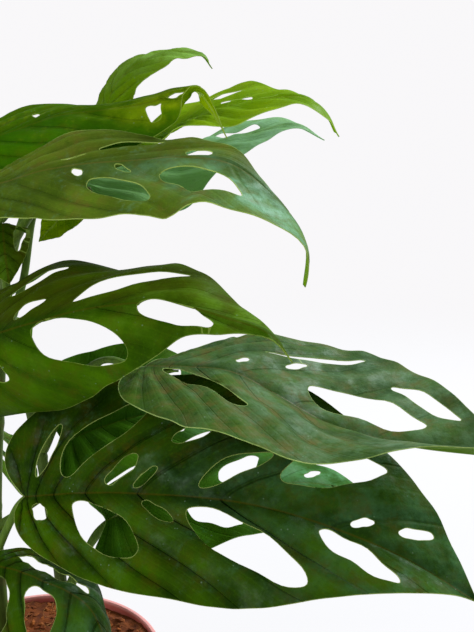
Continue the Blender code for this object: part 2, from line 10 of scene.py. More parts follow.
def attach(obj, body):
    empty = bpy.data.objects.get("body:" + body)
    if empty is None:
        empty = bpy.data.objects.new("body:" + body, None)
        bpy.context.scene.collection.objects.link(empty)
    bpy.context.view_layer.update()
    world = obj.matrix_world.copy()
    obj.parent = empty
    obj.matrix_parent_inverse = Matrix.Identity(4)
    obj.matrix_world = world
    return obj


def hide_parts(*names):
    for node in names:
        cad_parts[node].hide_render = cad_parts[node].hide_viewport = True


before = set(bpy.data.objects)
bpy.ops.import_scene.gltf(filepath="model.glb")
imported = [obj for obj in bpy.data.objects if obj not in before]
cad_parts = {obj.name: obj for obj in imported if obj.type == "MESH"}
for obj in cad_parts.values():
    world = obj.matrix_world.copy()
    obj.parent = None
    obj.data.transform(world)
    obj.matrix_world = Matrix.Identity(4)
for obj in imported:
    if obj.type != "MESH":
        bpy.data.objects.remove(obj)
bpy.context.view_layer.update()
mm = 0.001
tau = math.tau


# Shader maths: a wrapped socket, and the material or world that its nodes go into.

class Value:
    def __init__(self, paint, socket):
        self.paint = paint
        self.socket = socket

    def __add__(self, other):
        return self.paint.math("ADD", self, other)

    def __radd__(self, other):
        return self.paint.math("ADD", other, self)

    def __sub__(self, other):
        return self.paint.math("SUBTRACT", self, other)

    def __rsub__(self, other):
        return self.paint.math("SUBTRACT", other, self)

    def __mul__(self, other):
        return self.paint.math("MULTIPLY", self, other)

    def __rmul__(self, other):
        return self.paint.math("MULTIPLY", other, self)

    def __abs__(self):
        return self.paint.math("ABSOLUTE", self)


class Paint:
    def __init__(self, owner):  # a new material, or the world
        self.owner = owner
        owner.use_nodes = True
        self.tree = owner.node_tree
        self.tree.nodes.clear()

    def node(self, kind, settings=None, inputs=None, out=0):
        made = self.tree.nodes.new(kind)
        for key, value in (settings or {}).items():
            setattr(made, key, value)
        for key, value in (inputs or {}).items():
            socket = made.inputs[key]
            if isinstance(value, Value):
                self.tree.links.new(value.socket, socket)
            else:  # colours are written without their alpha
                socket.default_value = (*value, 1) if socket.type == "RGBA" else value
        return Value(self, made.outputs[out]) if len(made.outputs) else made

    def math(self, operation, *values):
        return self.node("ShaderNodeMath", {"operation": operation}, dict(enumerate(values)))

    def fraction(self, value):
        return self.math("FRACT", value)

    def band(self, value, start, end, low=0.0, high=1.0):  # a soft step from low to high
        return self.node("ShaderNodeMapRange", {"interpolation_type": "SMOOTHSTEP"},
                         {"Value": value, "From Min": start, "From Max": end, "To Min": low, "To Max": high})

    def blend(self, share, first, second):  # colour from first to second
        return self.node("ShaderNodeMix", {"data_type": "RGBA"}, {0: share, 6: first, 7: second}, 2)

    def layers(self, colour, *shares):  # each (share, colour) goes over what is under it
        for share, over in shares:
            colour = self.blend(share, colour, over)
        return colour

    def place(self):
        return self.node("ShaderNodeTexCoord", out="Object")

    def cloud(self, where, scale, detail=3.0, roughness=0.55):
        return self.node("ShaderNodeTexNoise", None,
                         {"Vector": where, "Scale": scale, "Detail": detail, "Roughness": roughness}, "Fac")

    def cells(self, where, scale, out="Distance"):
        return self.node("ShaderNodeTexVoronoi", None, {"Vector": where, "Scale": scale}, out)

    def bump(self, height, strength, distance):
        return self.node("ShaderNodeBump", None,
                         {"Height": height, "Strength": strength, "Distance": distance}, "Normal")

    def surface(self, colour, roughness, normal=None, glow=None, **fixed):
        inputs = {"Base Color": colour, "Roughness": roughness}
        if normal:
            inputs["Normal"] = normal
        for key, value in fixed.items():
            inputs[key.replace("_", " ")] = value
        shader = self.node("ShaderNodeBsdfPrincipled", None, inputs)
        if glow:  # light that comes through the blade
            through = self.node("ShaderNodeBsdfTranslucent", None, {"Color": glow[1]})
            shader = self.node("ShaderNodeMixShader", None, {0: glow[0], 1: shader, 2: through})
        self.node("ShaderNodeOutputMaterial", None, {"Surface": shader})
        return self.owner


def newPaint(name):
    return Paint(bpy.data.materials.new(name))


def scaled(colour, factor):
    return tuple(factor * c for c in colour)


def dress(piece, material, slot, *nodes):
    piece.data.materials.clear()
    piece.data.materials.append(material)
    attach(piece, "root")
    if nodes:
        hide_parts(*nodes)
    return piece


def added(name, data):
    thing = bpy.data.objects.new(name, data)
    bpy.context.scene.collection.objects.link(thing)
    return thing


def newPiece(name, points, faces, smoothAngle):
    mesh = bpy.data.meshes.new(name)
    mesh.from_pydata([tuple(p) for p in points], [], [tuple(f) for f in faces])
    mesh.update()
    piece = added(name, mesh)
    mesh.shade_smooth()
    mesh.set_sharp_from_angle(angle=math.radians(smoothAngle))
    return piece


# Paths, read by the length along them, in millimetres.

pathSamples = 24  # between two given points
pathReach = 0.05  # how far either way a direction is read, as a share of the length


class Path:
    def __init__(self, points):
        given = np.array(points, float)
        ends = np.vstack([2 * given[0] - given[1], given, 2 * given[-1] - given[-2]])
        t = np.linspace(0, 1, pathSamples, endpoint=False)[:, None]
        found = [
            0.5 * (2 * start + (end - before) * t + (2 * before - 5 * start + 4 * end - after) * t**2
                   + (3 * start - 3 * end + after - before) * t**3)
            for before, start, end, after in zip(ends, ends[1:], ends[2:], ends[3:])
        ]
        self.points = np.vstack(found + [given[-1:]])
        steps = np.linalg.norm(np.diff(self.points, axis=0), axis=1)
        self.reach = np.concatenate([[0], np.cumsum(steps)])
        self.length = self.reach[-1]

    def onto(self, distance):
        return np.stack([np.interp(distance, self.reach, self.points[:, k]) for k in range(3)], -1)

    def direction(self, distance):
        distance = np.clip(distance, 0, self.length)
        half = pathReach * self.length
        run = self.onto(np.minimum(distance + half, self.length)) - self.onto(np.maximum(distance - half, 0))
        return run / np.linalg.norm(run, axis=-1, keepdims=True)

    def at(self, distance):
        past = np.asarray(distance - np.clip(distance, 0, self.length))
        return self.onto(distance) + self.direction(distance) * past[..., None]

    def distanceAtHeight(self, height):
        return float(np.interp(height, self.points[:, 2], self.reach))


def ringFaces(rings, sides, first=0):  # between rings of points, with a face on the last ring
    faces = []
    for ring in range(rings - 1):
        for k in range(sides):
            a, b = first + ring * sides + k, first + ring * sides + (k + 1) % sides
            faces.append((a, a + sides, b + sides, b))
    last = first + (rings - 1) * sides
    return faces + [tuple(last + k for k in reversed(range(sides)))]


def swollen(radii, amount, distance):
    return radii * (1 + amount * np.exp(-(distance**2)))


def onCircle(radius, angle):
    return radius * math.cos(angle), radius * math.sin(angle)


def tubeMesh(path, radii, sides, groove=0.0):
    # rings square to the path, turned as little as possible, with a groove along the upper side
    count = len(radii)
    distances = np.linspace(0, path.length, count)
    places = path.at(distances)
    forward = path.direction(distances)
    steep = abs(forward[0][2]) >= 0.9
    up = np.array((0.0, 1.0, 0.0) if steep else (0.0, 0.0, 1.0))
    points = []
    for place, along, radius in zip(places, forward, radii):
        up = up - along * up.dot(along)
        up = up / np.linalg.norm(up)
        right = np.cross(along, up)
        for k in range(sides):
            angle = tau * k / sides
            shape = radius * (1 - groove * max(0, math.cos(angle)) ** 6)
            points.append((place + (up * math.cos(angle) + right * math.sin(angle)) * shape) * mm)
    return points, ringFaces(count, sides) + [tuple(range(sides))]


def closedOut(piece):
    shape = bmesh.new()
    shape.from_mesh(piece.data)
    bmesh.ops.recalc_face_normals(shape, faces=shape.faces)
    shape.to_mesh(piece.data)
    shape.free()
    return piece


# The leaves. Their forms are those of the CAD leaves, drawn finer.

bladeForm = {
    "plainShape": (0.36, 0.62, 1.12, 2.5, 2.1),  # widest, roundness, taper, lobe, sweep
    "seedStep": 7.3,  # sets one leaf's unevenness apart from the next's
    "holeSeedStep": 3.7,
    "lobeFade": 5,
    "veinCurve": 1.3,
    "waves": 2.5,
    "waveShift": 1.3,
    "thickness": 0.55,
    "marginSteps": 110,
    "marginCrowding": 1.5,
    "marginWobble": 0.35,
    "marginWaves": 22,
    "marginFade": 6,  # the wobble grows over this far from the midrib
    "holeSteps": 44,
    "holeWobble": 0.45,
    "gridStep": 2.1,
    "gridRows": 0.87,  # between rows, as a share of the step
    "gridClearance": 0.62,  # from margins and holes, as a share of the step
    "ribStep": 2.0,
    "ribRows": (0.8, 1.8, 3.2),
    "ribZone": 4,  # how far out the rows along the midrib count
    "ribClearance": 0.6,
    "ribGap": 0.7,  # from the last row to the grid, as a share of the step
    "ribHeight": 1.1,  # the ridge under the midrib
    "ribWidth": 1.3,
    "ribTaper": 0.8,
    "grooveDepth": 0.35,
    "grooveWidth": 1.5,
    "sideVeins": 9,  # side veins in each half
    "pucker": 1.7,
    "unevenness": 1.1,
    "unevenSize": 14,
    "ruffle": 1.1,
    "ruffles": 11,
    "calmWidth": 8,  # unevenness and ruffle grow over this far from the midrib
    "edgeShare": 0.55,  # the margin's share of the thickness
    "edgeWidth": 2,
}

# A hole is (t, v) of one end and of the other, and its width. Pairs hold the right half and the left,
# rib is the midrib's route from the stalk to the tip, and side points to the right, at both its ends.
holesA = ((0.32, 0.18, 0.32, 0.72, 9), (0.52, 0.14, 0.52, 0.80, 13), (0.74, 0.18, 0.74, 0.74, 9))
holesB = ((0.24, 0.25, 0.24, 0.60, 5), (0.42, 0.16, 0.42, 0.78, 12), (0.63, 0.14, 0.63, 0.78, 12),
          (0.82, 0.30, 0.82, 0.72, 5))
unseenLeaf = dict(droop=(8, 8), wave=(2.5, 2.5), right=holesA, left=holesB)

leafForms = {
    "leaf_front_low": dict(
        look="deep", stem="stem_front", height=150, bend=((-12, -13, 176),),
        rib=((2, -15, 203), (32, -24, 209), (62, -32, 212), (100, -40, 212), (135, -48, 206),
             (168, -54, 194), (201, -58, 175)),
        side=((0.1, -0.67, -0.74), (0.2, -0.85, -0.5)),
        width=(42, 58), fold=(16, 20), tipFold=(12, 17), droop=(16, 11), wave=(3.2, 3.0), phase=1.2,
        rightShape=(0.59, 1.08, 1.3, 1.6, 3.2), leftShape=(0.58, 0.93, 0.97, 2.4, 3.2),
        right=((0.31, 0.1, 0.31, 0.29, 6), (0.5, 0.11, 0.5, 0.6, 15), (0.66, 0.1, 0.66, 0.33, 5),
               (0.71, 0.21, 0.71, 0.9, 17), (0.86, 0.24, 0.86, 0.9, 12)),
        left=((0.29, 0.17, 0.29, 0.61, 5), (0.44, 0.14, 0.44, 0.71, 14), (0.59, 0.07, 0.59, 0.29, 8),
              (0.65, 0.05, 0.65, 0.22, 4), (0.61, 0.42, 0.61, 0.67, 7), (0.74, 0.1, 0.74, 0.51, 7),
              (0.79, 0.36, 0.79, 0.9, 15), (0.89, 0.18, 0.89, 0.42, 4), (0.91, 0.48, 0.91, 0.84, 6)),
    ),
    "leaf_right_middle": dict(
        look="slate", stem="stem_right", height=208, bend=((22, 18, 248), (38, 8, 262)),
        rib=((58, -9, 264), (78, -14, 265), (98, -19, 264), (118, -25, 255), (141, -32, 244),
             (173, -40, 238), (210, -48, 236)),
        side=((-0.46, -0.89, 0.0), (-0.16, -0.97, -0.16)),
        width=(47, 52), fold=(-5, 2), tipFold=(44, 25), droop=(8, 6), wave=(1.3, 1.0), phase=0.5,
        rightShape=(0.25, 0.87, 0.92, 2.0, 3.2), leftShape=(0.27, 1.0, 0.92, 0.4, 3.2),
        right=((0.42, 0.05, 0.59, 0.52, 9),),
        left=((0.62, 0.14, 0.62, 0.22, 3), (0.57, 0.42, 0.64, 0.88, 5), (0.65, 0.38, 0.64, 0.52, 3),
              (0.74, 0.28, 0.91, 0.48, 17), (0.78, 0.78, 0.93, 0.8, 8)),
    ),
    "leaf_front_middle": dict(
        look="green", stem="stem_front", height=212, bend=((-38, -20, 246),),
        rib=((-23, -20, 276), (-1, -26, 284), (32, -36, 295), (53, -44, 300), (78, -54, 302),
             (98, -64, 298), (113, -70, 293), (121, -74, 284)),
        side=((0.03, -0.82, -0.57), (0.08, -0.99, -0.13)),
        width=(36, 36), fold=(-36, 3), tipFold=(-13, 0), droop=(30, 13), wave=(0.5, 2.0), phase=6.0,
        rightShape=(0.48, 0.73, 1.85, 3.8, 3.2), leftShape=(0.64, 0.42, 1.4, 1.6, 3.2),
        right=((0.38, 0.15, 0.38, 0.51, 8), (0.62, 0.13, 0.62, 0.88, 20), (0.83, 0.08, 0.83, 0.88, 9)),
        left=((0.39, 0.39, 0.39, 0.77, 6), (0.56, 0.12, 0.56, 0.35, 6), (0.68, 0.25, 0.68, 0.9, 14)),
    ),
    "leaf_front_upper": dict(
        look="dusky", stem="stem_right", height=298, bend=((-21, 28, 326),),
        rib=((-23, -5, 340), (-1, -12, 346), (25, -20, 353), (61, -34, 357), (82, -42, 358),
             (100, -50, 355), (118, -58, 340), (126, -62, 327), (126, -64, 311)),
        side=((0.0, -0.85, -0.52), (0.08, -0.97, -0.24)),
        width=(31, 32), fold=(-9, -2), tipFold=(-6, -9), droop=(4, 2), wave=(1.2, 3.0), phase=5.0,
        rightShape=(0.41, 1.0, 0.65, 1.6, 3.2), leftShape=(0.37, 1.5, 2.5, 0.5, 3.2),
        right=((0.68, 0.3, 0.68, 0.74, 9), (0.69, 0.07, 0.69, 0.19, 3), (0.76, 0.05, 0.76, 0.24, 3),
               (0.79, 0.32, 0.86, 0.7, 12)),
        left=((0.55, 0.58, 0.55, 0.88, 5), (0.6, 0.28, 0.6, 0.42, 3), (0.75, 0.58, 0.75, 0.72, 3)),
    ),
    "leaf_top_left": dict(
        look="lime", stem="stem_right", height=312, bend=((-34, 48, 338),),
        rib=((-44, 42, 357), (-12, 35, 365), (18, 27, 374), (53, 14, 378), (73, 1, 383),
             (83, -8, 384), (90, -16, 376), (96, -21, 365)),
        side=((0.23, -0.71, -0.67), (0.57, -0.8, -0.2)),
        width=(31, 32), fold=(15, -14), tipFold=(-16, -32), droop=(6, 11), wave=(1.4, 3.8), phase=5.6,
        rightShape=(0.37, 0.95, 1.55, 0.3, 3.0), leftShape=(0.39, 0.68, 1.8, 1.1, 3.0),
        right=((0.8, 0.78, 0.855, 0.36, 9), (0.93, 0.14, 0.94, 0.46, 4)),
        left=((0.5, 0.52, 0.61, 0.38, 3), (0.89, 0.2, 0.92, 0.2, 3)),
    ),
    "leaf_top_right": dict(
        look="yellow", stem="stem_back", height=306, bend=((6, 48, 334),),
        rib=((49, 36, 357), (66, 32, 366), (88, 25, 376), (111, 16, 381), (128, 10, 382), (137, 6, 377),
             (145, 4, 365)),
        side=((0.04, -0.96, -0.26), (0.11, -0.94, -0.34)),
        width=(30, 37), fold=(20, 5), tipFold=(-1, -13), droop=(3, 2), wave=(2.4, 2.4), phase=1.1,
        rightShape=(0.33, 0.71, 1.0, 1.8, 3.0), leftShape=(0.35, 1.3, 2.4, 1.0, 3.0),
        right=((0.6, 0.15, 0.6, 0.5, 3),),
        left=((0.52, 0.66, 0.58, 0.82, 4), (0.64, 0.5, 0.75, 0.52, 4), (0.79, 0.42, 0.83, 0.5, 3)),
    ),
    "leaf_top_upright": dict(
        look="fresh", stem="stem_back", height=288, bend=((-14, 80, 322), (0, 86, 350)),
        rib=((33, 66, 367), (35, 70, 382), (41, 74, 393), (55, 80, 403), (69, 86, 406), (81, 90, 405),
             (87, 92, 398)),
        side=((0.65, -0.75, -0.12), (0.24, -0.89, -0.39)),
        width=(21, 22), fold=(6, -1), droop=(7, 12), wave=(1.6, 1.6), phase=1.6,
        rightShape=(0.36, 0.62, 1.12, 2.4, 2.5), leftShape=(0.36, 0.62, 1.12, 2.4, 2.5),
        right=(), left=(),
    ),
    "leaf_back_upper": dict(
        look="mist", stem="stem_back", height=254, bend=((-13, 65, 288), (-4, 66, 328)),
        rib=((14, 58, 342), (40, 64, 348), (70, 72, 355), (102, 80, 363), (128, 86, 369), (147, 90, 361)),
        side=((-0.05, -0.92, -0.38), (0.21, -0.93, -0.3)),
        width=(34, 37), fold=(1, -20), tipFold=(9, 8), droop=(8, 11), wave=(3.0, 4.0), phase=4.2,
        rightShape=(0.5, 0.5, 1.65, 0.2, 3.0), leftShape=(0.5, 0.66, 1.3, 1.0, 3.0),
        right=((0.62, 0.3, 0.7, 0.76, 8),), left=((0.7, 0.72, 0.87, 0.5, 8),),
    ),
    "leaf_hanging_left": dict(
        look="green", stem="stem_right", height=272, bend=((-14, 34, 306),),
        rib=((-10, 20, 325), (-8, 14, 325), (-7, 10, 319), (-6, 8, 309), (-5, 8, 298)),
        side=((-0.94, -0.25, 0.1), (-0.96, -0.2, 0.1)),
        width=(19, 13), fold=(-10, -10), droop=(8, 8), wave=(1.0, 1.0), phase=0.0,
        right=((0.35, 0.22, 0.35, 0.66, 6), (0.58, 0.16, 0.58, 0.74, 9)),
        left=((0.3, 0.6, 0.68, 0.62, 5),),
    ),
    "leaf_hanging_right": dict(
        look="lime", stem="stem_right", height=322, bend=((-6, 46, 334),),
        rib=((28, 36, 338), (21, 33, 332), (13, 30, 323), (5, 28, 315)),
        side=((0.55, -0.55, -0.6), (0.6, -0.5, -0.6)),
        width=(12, 12), fold=(-8, -8), droop=(6, 6), wave=(0.8, 0.8), phase=0.0,
        right=((0.4, 0.18, 0.7, 0.3, 2.5),), left=(),
    ),
    "leaf_over_rim": dict(
        look="deep", stem="stem_front", height=118, bend=((-26, -24, 146),),
        rib=((-14, -28, 176), (0, -31, 175), (15, -35, 171), (28, -39, 167), (37, -43, 160), (42, -47, 149),
             (44, -51, 137)),
        side=((0.0, -0.93, -0.35), (-0.4, -0.85, 0.1)),
        width=(34, 28), fold=(-8, -12), tipFold=(-10, -16), droop=(24, 12), wave=(3.0, 2.0), phase=1.0,
        rightShape=(0.42, 0.8, 0.9, 1.6, 2.6), leftShape=(0.46, 0.75, 0.9, 1.2, 2.6),
        right=((0.36, 0.16, 0.36, 0.9, 13), (0.64, 0.12, 0.64, 0.88, 14)),
        left=((0.36, 0.36, 0.76, 0.44, 8),),
    ),
    "leaf_back_low": dict(
        look="shade", stem="stem_back", height=160, bend=((8, 30, 190),),
        rib=((12, 26, 214), (36, 30, 222), (60, 36, 226), (84, 43, 222), (102, 50, 212), (112, 55, 200)),
        side=((0.0, -0.9, -0.42), (0.2, -0.9, -0.36)),
        width=(33, 44), fold=(-4, 40), tipFold=(-4, 10), droop=(8, 8), wave=(2.0, 1.5), phase=2.4,
        rightShape=(0.22, 0.62, 2.0, 2.5, 2.1),
        right=((0.62, 0.2, 0.62, 0.8, 8),), left=holesB,
    ),
    "leaf_back_right": dict(
        look="shade", stem="stem_right", height=136, bend=((24, 4, 162),),
        rib=((35, 10, 179), (66, 15, 188), (104, 24, 192), (136, 32, 189), (160, 40, 182), (176, 46, 170)),
        side=((0.0, -0.92, -0.38), (0.2, -0.92, -0.3)),
        width=(32, 38), fold=(-4, -4), droop=(8, 8), wave=(2.0, 2.0), phase=0.2, right=holesA,
        left=holesB,
    ),
    "leaf_left_low": dict(
        look="deep", stem="stem_left", height=140, bend=((-50, 8, 160),),
        rib=((-66, 2, 172), (-92, -6, 180), (-124, -14, 180), (-154, -22, 170), (-178, -28, 152)),
        side=((0.0, 0.88, -0.3), (-0.1, 0.9, -0.3)),
        width=(46, 46), fold=(-4, -4), phase=3.6, **unseenLeaf,
    ),
    "leaf_left_middle": dict(
        look="slate", stem="stem_left", height=190, bend=((-62, 26, 212),),
        rib=((-76, 32, 224), (-104, 40, 232), (-134, 48, 232), (-160, 56, 222), (-180, 62, 204)),
        side=((0.2, 0.9, -0.3), (0.1, 0.92, -0.3)),
        width=(44, 44), fold=(-5, -5), phase=5.0, **unseenLeaf,
    ),
    "leaf_left_upper": dict(
        look="green", stem="stem_left", height=240, bend=((-62, 8, 268),),
        rib=((-74, 0, 284), (-98, -10, 296), (-126, -20, 300), (-150, -28, 292), (-168, -34, 274)),
        side=((-0.2, 0.9, -0.28), (-0.1, 0.92, -0.3)),
        width=(42, 42), fold=(-6, -6), phase=0.7, **unseenLeaf,
    ),
    "leaf_back_left": dict(
        look="deep", stem="stem_left", height=165, bend=((-46, 42, 186),),
        rib=((-42, 60, 204), (-47, 88, 196), (-55, 115, 192), (-62, 141, 182), (-68, 160, 164)),
        side=((0.92, 0.2, -0.2), (0.92, 0.2, -0.2)),
        width=(44, 44), fold=(-38, -5), tipFold=(-5, -5), phase=1.9, **unseenLeaf,
    ),
    "leaf_back_middle": dict(
        look="green", stem="stem_back", height=215, bend=((-34, 62, 244),),
        rib=((-45, 74, 258), (-53, 98, 266), (-63, 124, 264), (-73, 146, 250), (-81, 162, 230)),
        side=((0.9, 0.36, -0.16), (0.9, 0.36, -0.16)),
        width=(38, 42), fold=(-5, -5), phase=2.7, **unseenLeaf,
    ),
    "leaf_back_top": dict(
        look="dusky", stem="stem_left", height=262, bend=((-54, 44, 302),),
        rib=((-60, 60, 322), (-68, 84, 334), (-77, 110, 336), (-84, 132, 326), (-89, 150, 306)),
        side=((0.9, 0.3, -0.2), (0.92, 0.26, -0.2)),
        width=(40, 40), fold=(-5, -5), phase=4.4, **unseenLeaf,
    ),
}


def onBlade(t, v, length, width, shape):
    # t runs along the margin and v from the midrib out to it; gives x along the midrib and y across
    widest, roundness, taper, lobe, sweep = shape
    root = length * t**sweep
    along = length * (t - lobe * t * (1 - t) ** bladeForm["lobeFade"])
    spread = (t / widest) ** roundness * ((1 - t) / (1 - widest)) ** taper
    return root + (along - root) * v ** bladeForm["veinCurve"], width * spread * v


def veinPlace(x, y, length, width, shape, halvings=26, least=1e-7):
    # the inverse of onBlade: bisect first for the margin's two crossings of y, then between them
    roundness, taper = shape[1], shape[2]
    best = roundness / (roundness + taper)
    widestY = onBlade(np.array(best), 1, length, width, shape)[1]
    y = np.minimum(y, 0.9999 * widestY)
    ends = []
    for near, far in ((best, least), (best, 1 - least)):
        low, high = np.full(len(y), near), np.full(len(y), far)
        for _ in range(halvings):
            middle = (low + high) / 2
            inside = onBlade(middle, 1, length, width, shape)[1] > y
            low, high = np.where(inside, middle, low), np.where(inside, high, middle)
        ends.append(low)
    low, high = ends
    for _ in range(halvings):
        t = (low + high) / 2
        v = np.minimum(y / onBlade(t, 1, length, width, shape)[1], 1)
        short = onBlade(t, v, length, width, shape)[0] < x
        low, high = np.where(short, t, low), np.where(short, high, t)
    return t, v


def holeOutline(hole, length, width, shape, seed):
    startT, startV, endT, endV, across = hole
    angle = np.linspace(0, tau, bladeForm["holeSteps"], endpoint=False)
    share = 0.5 - 0.5 * np.cos(angle)
    aside = 0.01
    lines = []
    for s in (share - aside, share, share + aside):
        t, v = startT + (endT - startT) * s, startV + (endV - startV) * s
        lines.append(np.stack(onBlade(t, v, length, width, shape), -1))
    near, here, far = lines
    run = far - near
    square = np.stack([-run[:, 1], run[:, 0]], -1) / np.linalg.norm(run, axis=1, keepdims=True)
    wobble = [noise.noise(Vector((math.cos(a) * 1.3, math.sin(a) * 1.3, seed))) for a in angle]
    bulge = across / 2 * np.sin(angle) * (1 + bladeForm["holeWobble"] * np.array(wobble))
    return here + square * bulge[:, None]


def flatBlade(leaf, length, seed):
    f = bladeForm
    halves = []
    for sign, side, width in ((1, "right", leaf["width"][0]), (-1, "left", leaf["width"][1])):
        halves.append((sign, width, leaf.get(side + "Shape", f["plainShape"]), leaf[side]))
    count = f["marginSteps"]
    steps = (np.arange(count + 1) / count) ** f["marginCrowding"]
    margins = []
    for sign, width, form, _ in halves:
        x, y = onBlade(steps, 1.0, length, width, form)
        wobble = np.array([noise.noise(Vector((t * f["marginWaves"], sign * 3, seed))) for t in steps])
        y = y + f["marginWobble"] * wobble * np.minimum(1, y / f["marginFade"])
        margins.append(np.stack([x, sign * y], -1))
    right, left = margins
    loops = [np.vstack([right[:-1], left[:0:-1]])]
    for sign, width, form, holes in halves:
        for k, hole in enumerate(holes):
            loop = holeOutline(hole, length, width, form, seed + f["holeSeedStep"] * k + sign)
            loops.append(loop * (1, sign))
    points = []
    regions = []
    for loop in loops:
        first = len(points)
        points.extend(Vector(p) for p in loop)
        after = np.roll(loop, -1, axis=0)
        turn = (loop[:, 0] * after[:, 1] - after[:, 0] * loop[:, 1]).sum()
        around = list(range(first, len(points)))
        regions.append(around if turn > 0 else around[::-1])
    tree = kdtree.KDTree(len(points))
    for k, p in enumerate(points):
        tree.insert((p.x, p.y, 0), k)
    tree.balance()
    rib = [0]
    ribCount = int(length / f["ribStep"])
    for k in range(1, ribCount):
        rib.append(len(points))
        points.append(Vector((length * k / ribCount, 0)))
    rib.append(count)  # the tip, where the two margins meet
    inner = []
    for k in range(ribCount):
        for out in f["ribRows"]:
            inner.extend((length * (k + 0.5) / ribCount, sign * out) for sign in (1, -1))
    step = f["gridStep"]
    low, high = loops[0].min(0), loops[0].max(0)
    rows = int((high[1] - low[1]) / (step * f["gridRows"])) + 1
    for row in range(rows):
        y = low[1] + row * step * f["gridRows"]
        if abs(y) < f["ribRows"][-1] + step * f["ribGap"]:
            continue
        for x in np.arange(low[0] + (row % 2) * step / 2, high[0], step):
            inner.append((x, y))
    for x, y in inner:
        onGrid = abs(y) > f["ribZone"]
        clearance = f["gridClearance"] * step if onGrid else f["ribClearance"]
        if tree.find((x, y, 0))[2] > clearance:
            points.append(Vector((x, y)))
    found = geometry.delaunay_2d_cdt(points, list(zip(rib, rib[1:])), regions, 1, 0.001)
    kept = np.array([face for face, inside in zip(found[2], found[5]) if inside == [0]])
    flat = np.array([tuple(p) for p in found[0]])
    used, kept = np.unique(kept, return_inverse=True)
    return flat[used], kept.reshape(-1, 3), halves, tree


def bentBlade(leaf, rib, flat, halves, seed):
    # the CAD leaf's bend, with the puckers between its side veins and the midrib's groove
    f = bladeForm
    x, y = flat[:, 0], flat[:, 1]
    out = np.abs(y)
    sign = np.where(y > 0, 1.0, -1.0)
    t = np.zeros(len(flat))
    v = np.zeros(len(flat))
    for side, width, form, _ in halves:
        mine = (y > 0) if side > 0 else (y <= 0)
        t[mine], v[mine] = veinPlace(x[mine], out[mine], rib.length, width, form)
    which = np.where(y > 0, 0, 1)
    share = np.clip(x / rib.length, 0, 1)
    forward = rib.direction(x)
    start, end = np.array(leaf["side"][0]), np.array(leaf["side"][1])
    right = start + (end - start) * share[:, None]
    right = right - forward * (right * forward).sum(1)[:, None]
    right = right / np.linalg.norm(right, axis=1)[:, None]
    up = np.cross(right, forward)

    def perSide(values):
        return np.array(values, float)[which]

    width = perSide(leaf["width"])
    tipFold = leaf.get("tipFold", leaf["fold"])
    fold = np.radians(perSide(leaf["fold"]) * (1 - share) + perSide(tipFold) * share)
    curl = np.radians(perSide(leaf["droop"])) / width * 2
    turned = fold - curl * out
    across = (np.sin(fold) - np.sin(turned)) / curl
    lift = (np.cos(turned) - np.cos(fold)) / curl
    swing = np.sin(f["waves"] * share * tau + leaf["phase"] + f["waveShift"] * sign)
    ripple = perSide(leaf["wave"]) * (out / width) ** 2 * swing
    between = np.sin(math.pi * f["sideVeins"] * t) ** 2
    pucker = f["pucker"] * (between - 0.5) * np.clip(4 * v * (1 - v), 0, 1) ** 0.7
    groove = f["grooveDepth"] * np.exp(-((out / f["grooveWidth"]) ** 2)) * (1 - share)
    size = f["unevenSize"]
    grown = np.minimum(1, out / f["calmWidth"])
    uneven = np.array([noise.noise(Vector((a / size, b / size, seed))) for a, b in flat])
    uneven = uneven * f["unevenness"] * grown
    ruffle = np.array([noise.noise(Vector((a * f["ruffles"], b, seed + 9))) for a, b in zip(t, sign)])
    uneven = uneven + f["ruffle"] * ruffle * v**4 * grown
    raised = lift + ripple + pucker - groove + uneven
    placed = rib.at(x) + right * (sign * across)[:, None] + up * raised[:, None]
    return placed, up, t, v * sign, share, out


def makeBlade(name, leaf, seed, material):
    f = bladeForm
    rib = Path(leaf["rib"])
    flat, faces, halves, tree = flatBlade(leaf, rib.length, seed)
    middle, up, t, v, share, out = bentBlade(leaf, rib, flat, halves, seed)
    a, b, c = middle[faces[:, 0]], middle[faces[:, 1]], middle[faces[:, 2]]
    flatNormal = np.cross(b - a, c - a)
    normal = np.zeros_like(middle)
    for k in range(3):
        np.add.at(normal, faces[:, k], flatNormal)
    normal = normal / np.linalg.norm(normal, axis=1)[:, None]
    if (normal * up).sum() < 0:
        normal = -normal
        faces = faces[:, ::-1]
    edge = np.array([tree.find((x, y, 0))[2] for x, y in flat])
    thin = f["edgeShare"]
    half = f["thickness"] / 2 * (thin + (1 - thin) * np.clip(edge / f["edgeWidth"], 0, 1))
    ridge = f["ribHeight"] * np.exp(-((out / f["ribWidth"]) ** 2))
    ridge = ridge * (1 - f["ribTaper"] * share)
    top = middle + normal * half[:, None]
    under = middle - normal * (half + ridge)[:, None]
    count = len(flat)
    ends = np.concatenate([faces[:, [0, 1]], faces[:, [1, 2]], faces[:, [2, 0]]])
    seen = {tuple(e) for e in ends.tolist()}
    rim = [(i, j) for i, j in seen if (j, i) not in seen]
    rimFaces = [(j, i, i + count, j + count) for i, j in sorted(rim)]
    allFaces = faces.tolist() + (faces[:, ::-1] + count).tolist() + rimFaces
    piece = newPiece(name, np.vstack([top, under]) * mm, allFaces, 50)
    mesh = piece.data
    vein = mesh.uv_layers.new(name="vein")
    corners = np.empty(len(mesh.loops), int)
    mesh.loops.foreach_get("vertex_index", corners)
    places = np.stack([np.tile(t, 2), np.tile(v, 2)], -1)
    vein.data.foreach_set("uv", places[corners].ravel())
    for label, values in (("edge", np.tile(edge, 2)), ("side", np.repeat([1.0, 0.0], count)),
                          ("rib", np.tile(out, 2))):
        mesh.attributes.new(label, "FLOAT", "POINT").data.foreach_set("value", values.astype(np.float32))
    return dress(piece, material, "leaf", name.removesuffix("_blade"))


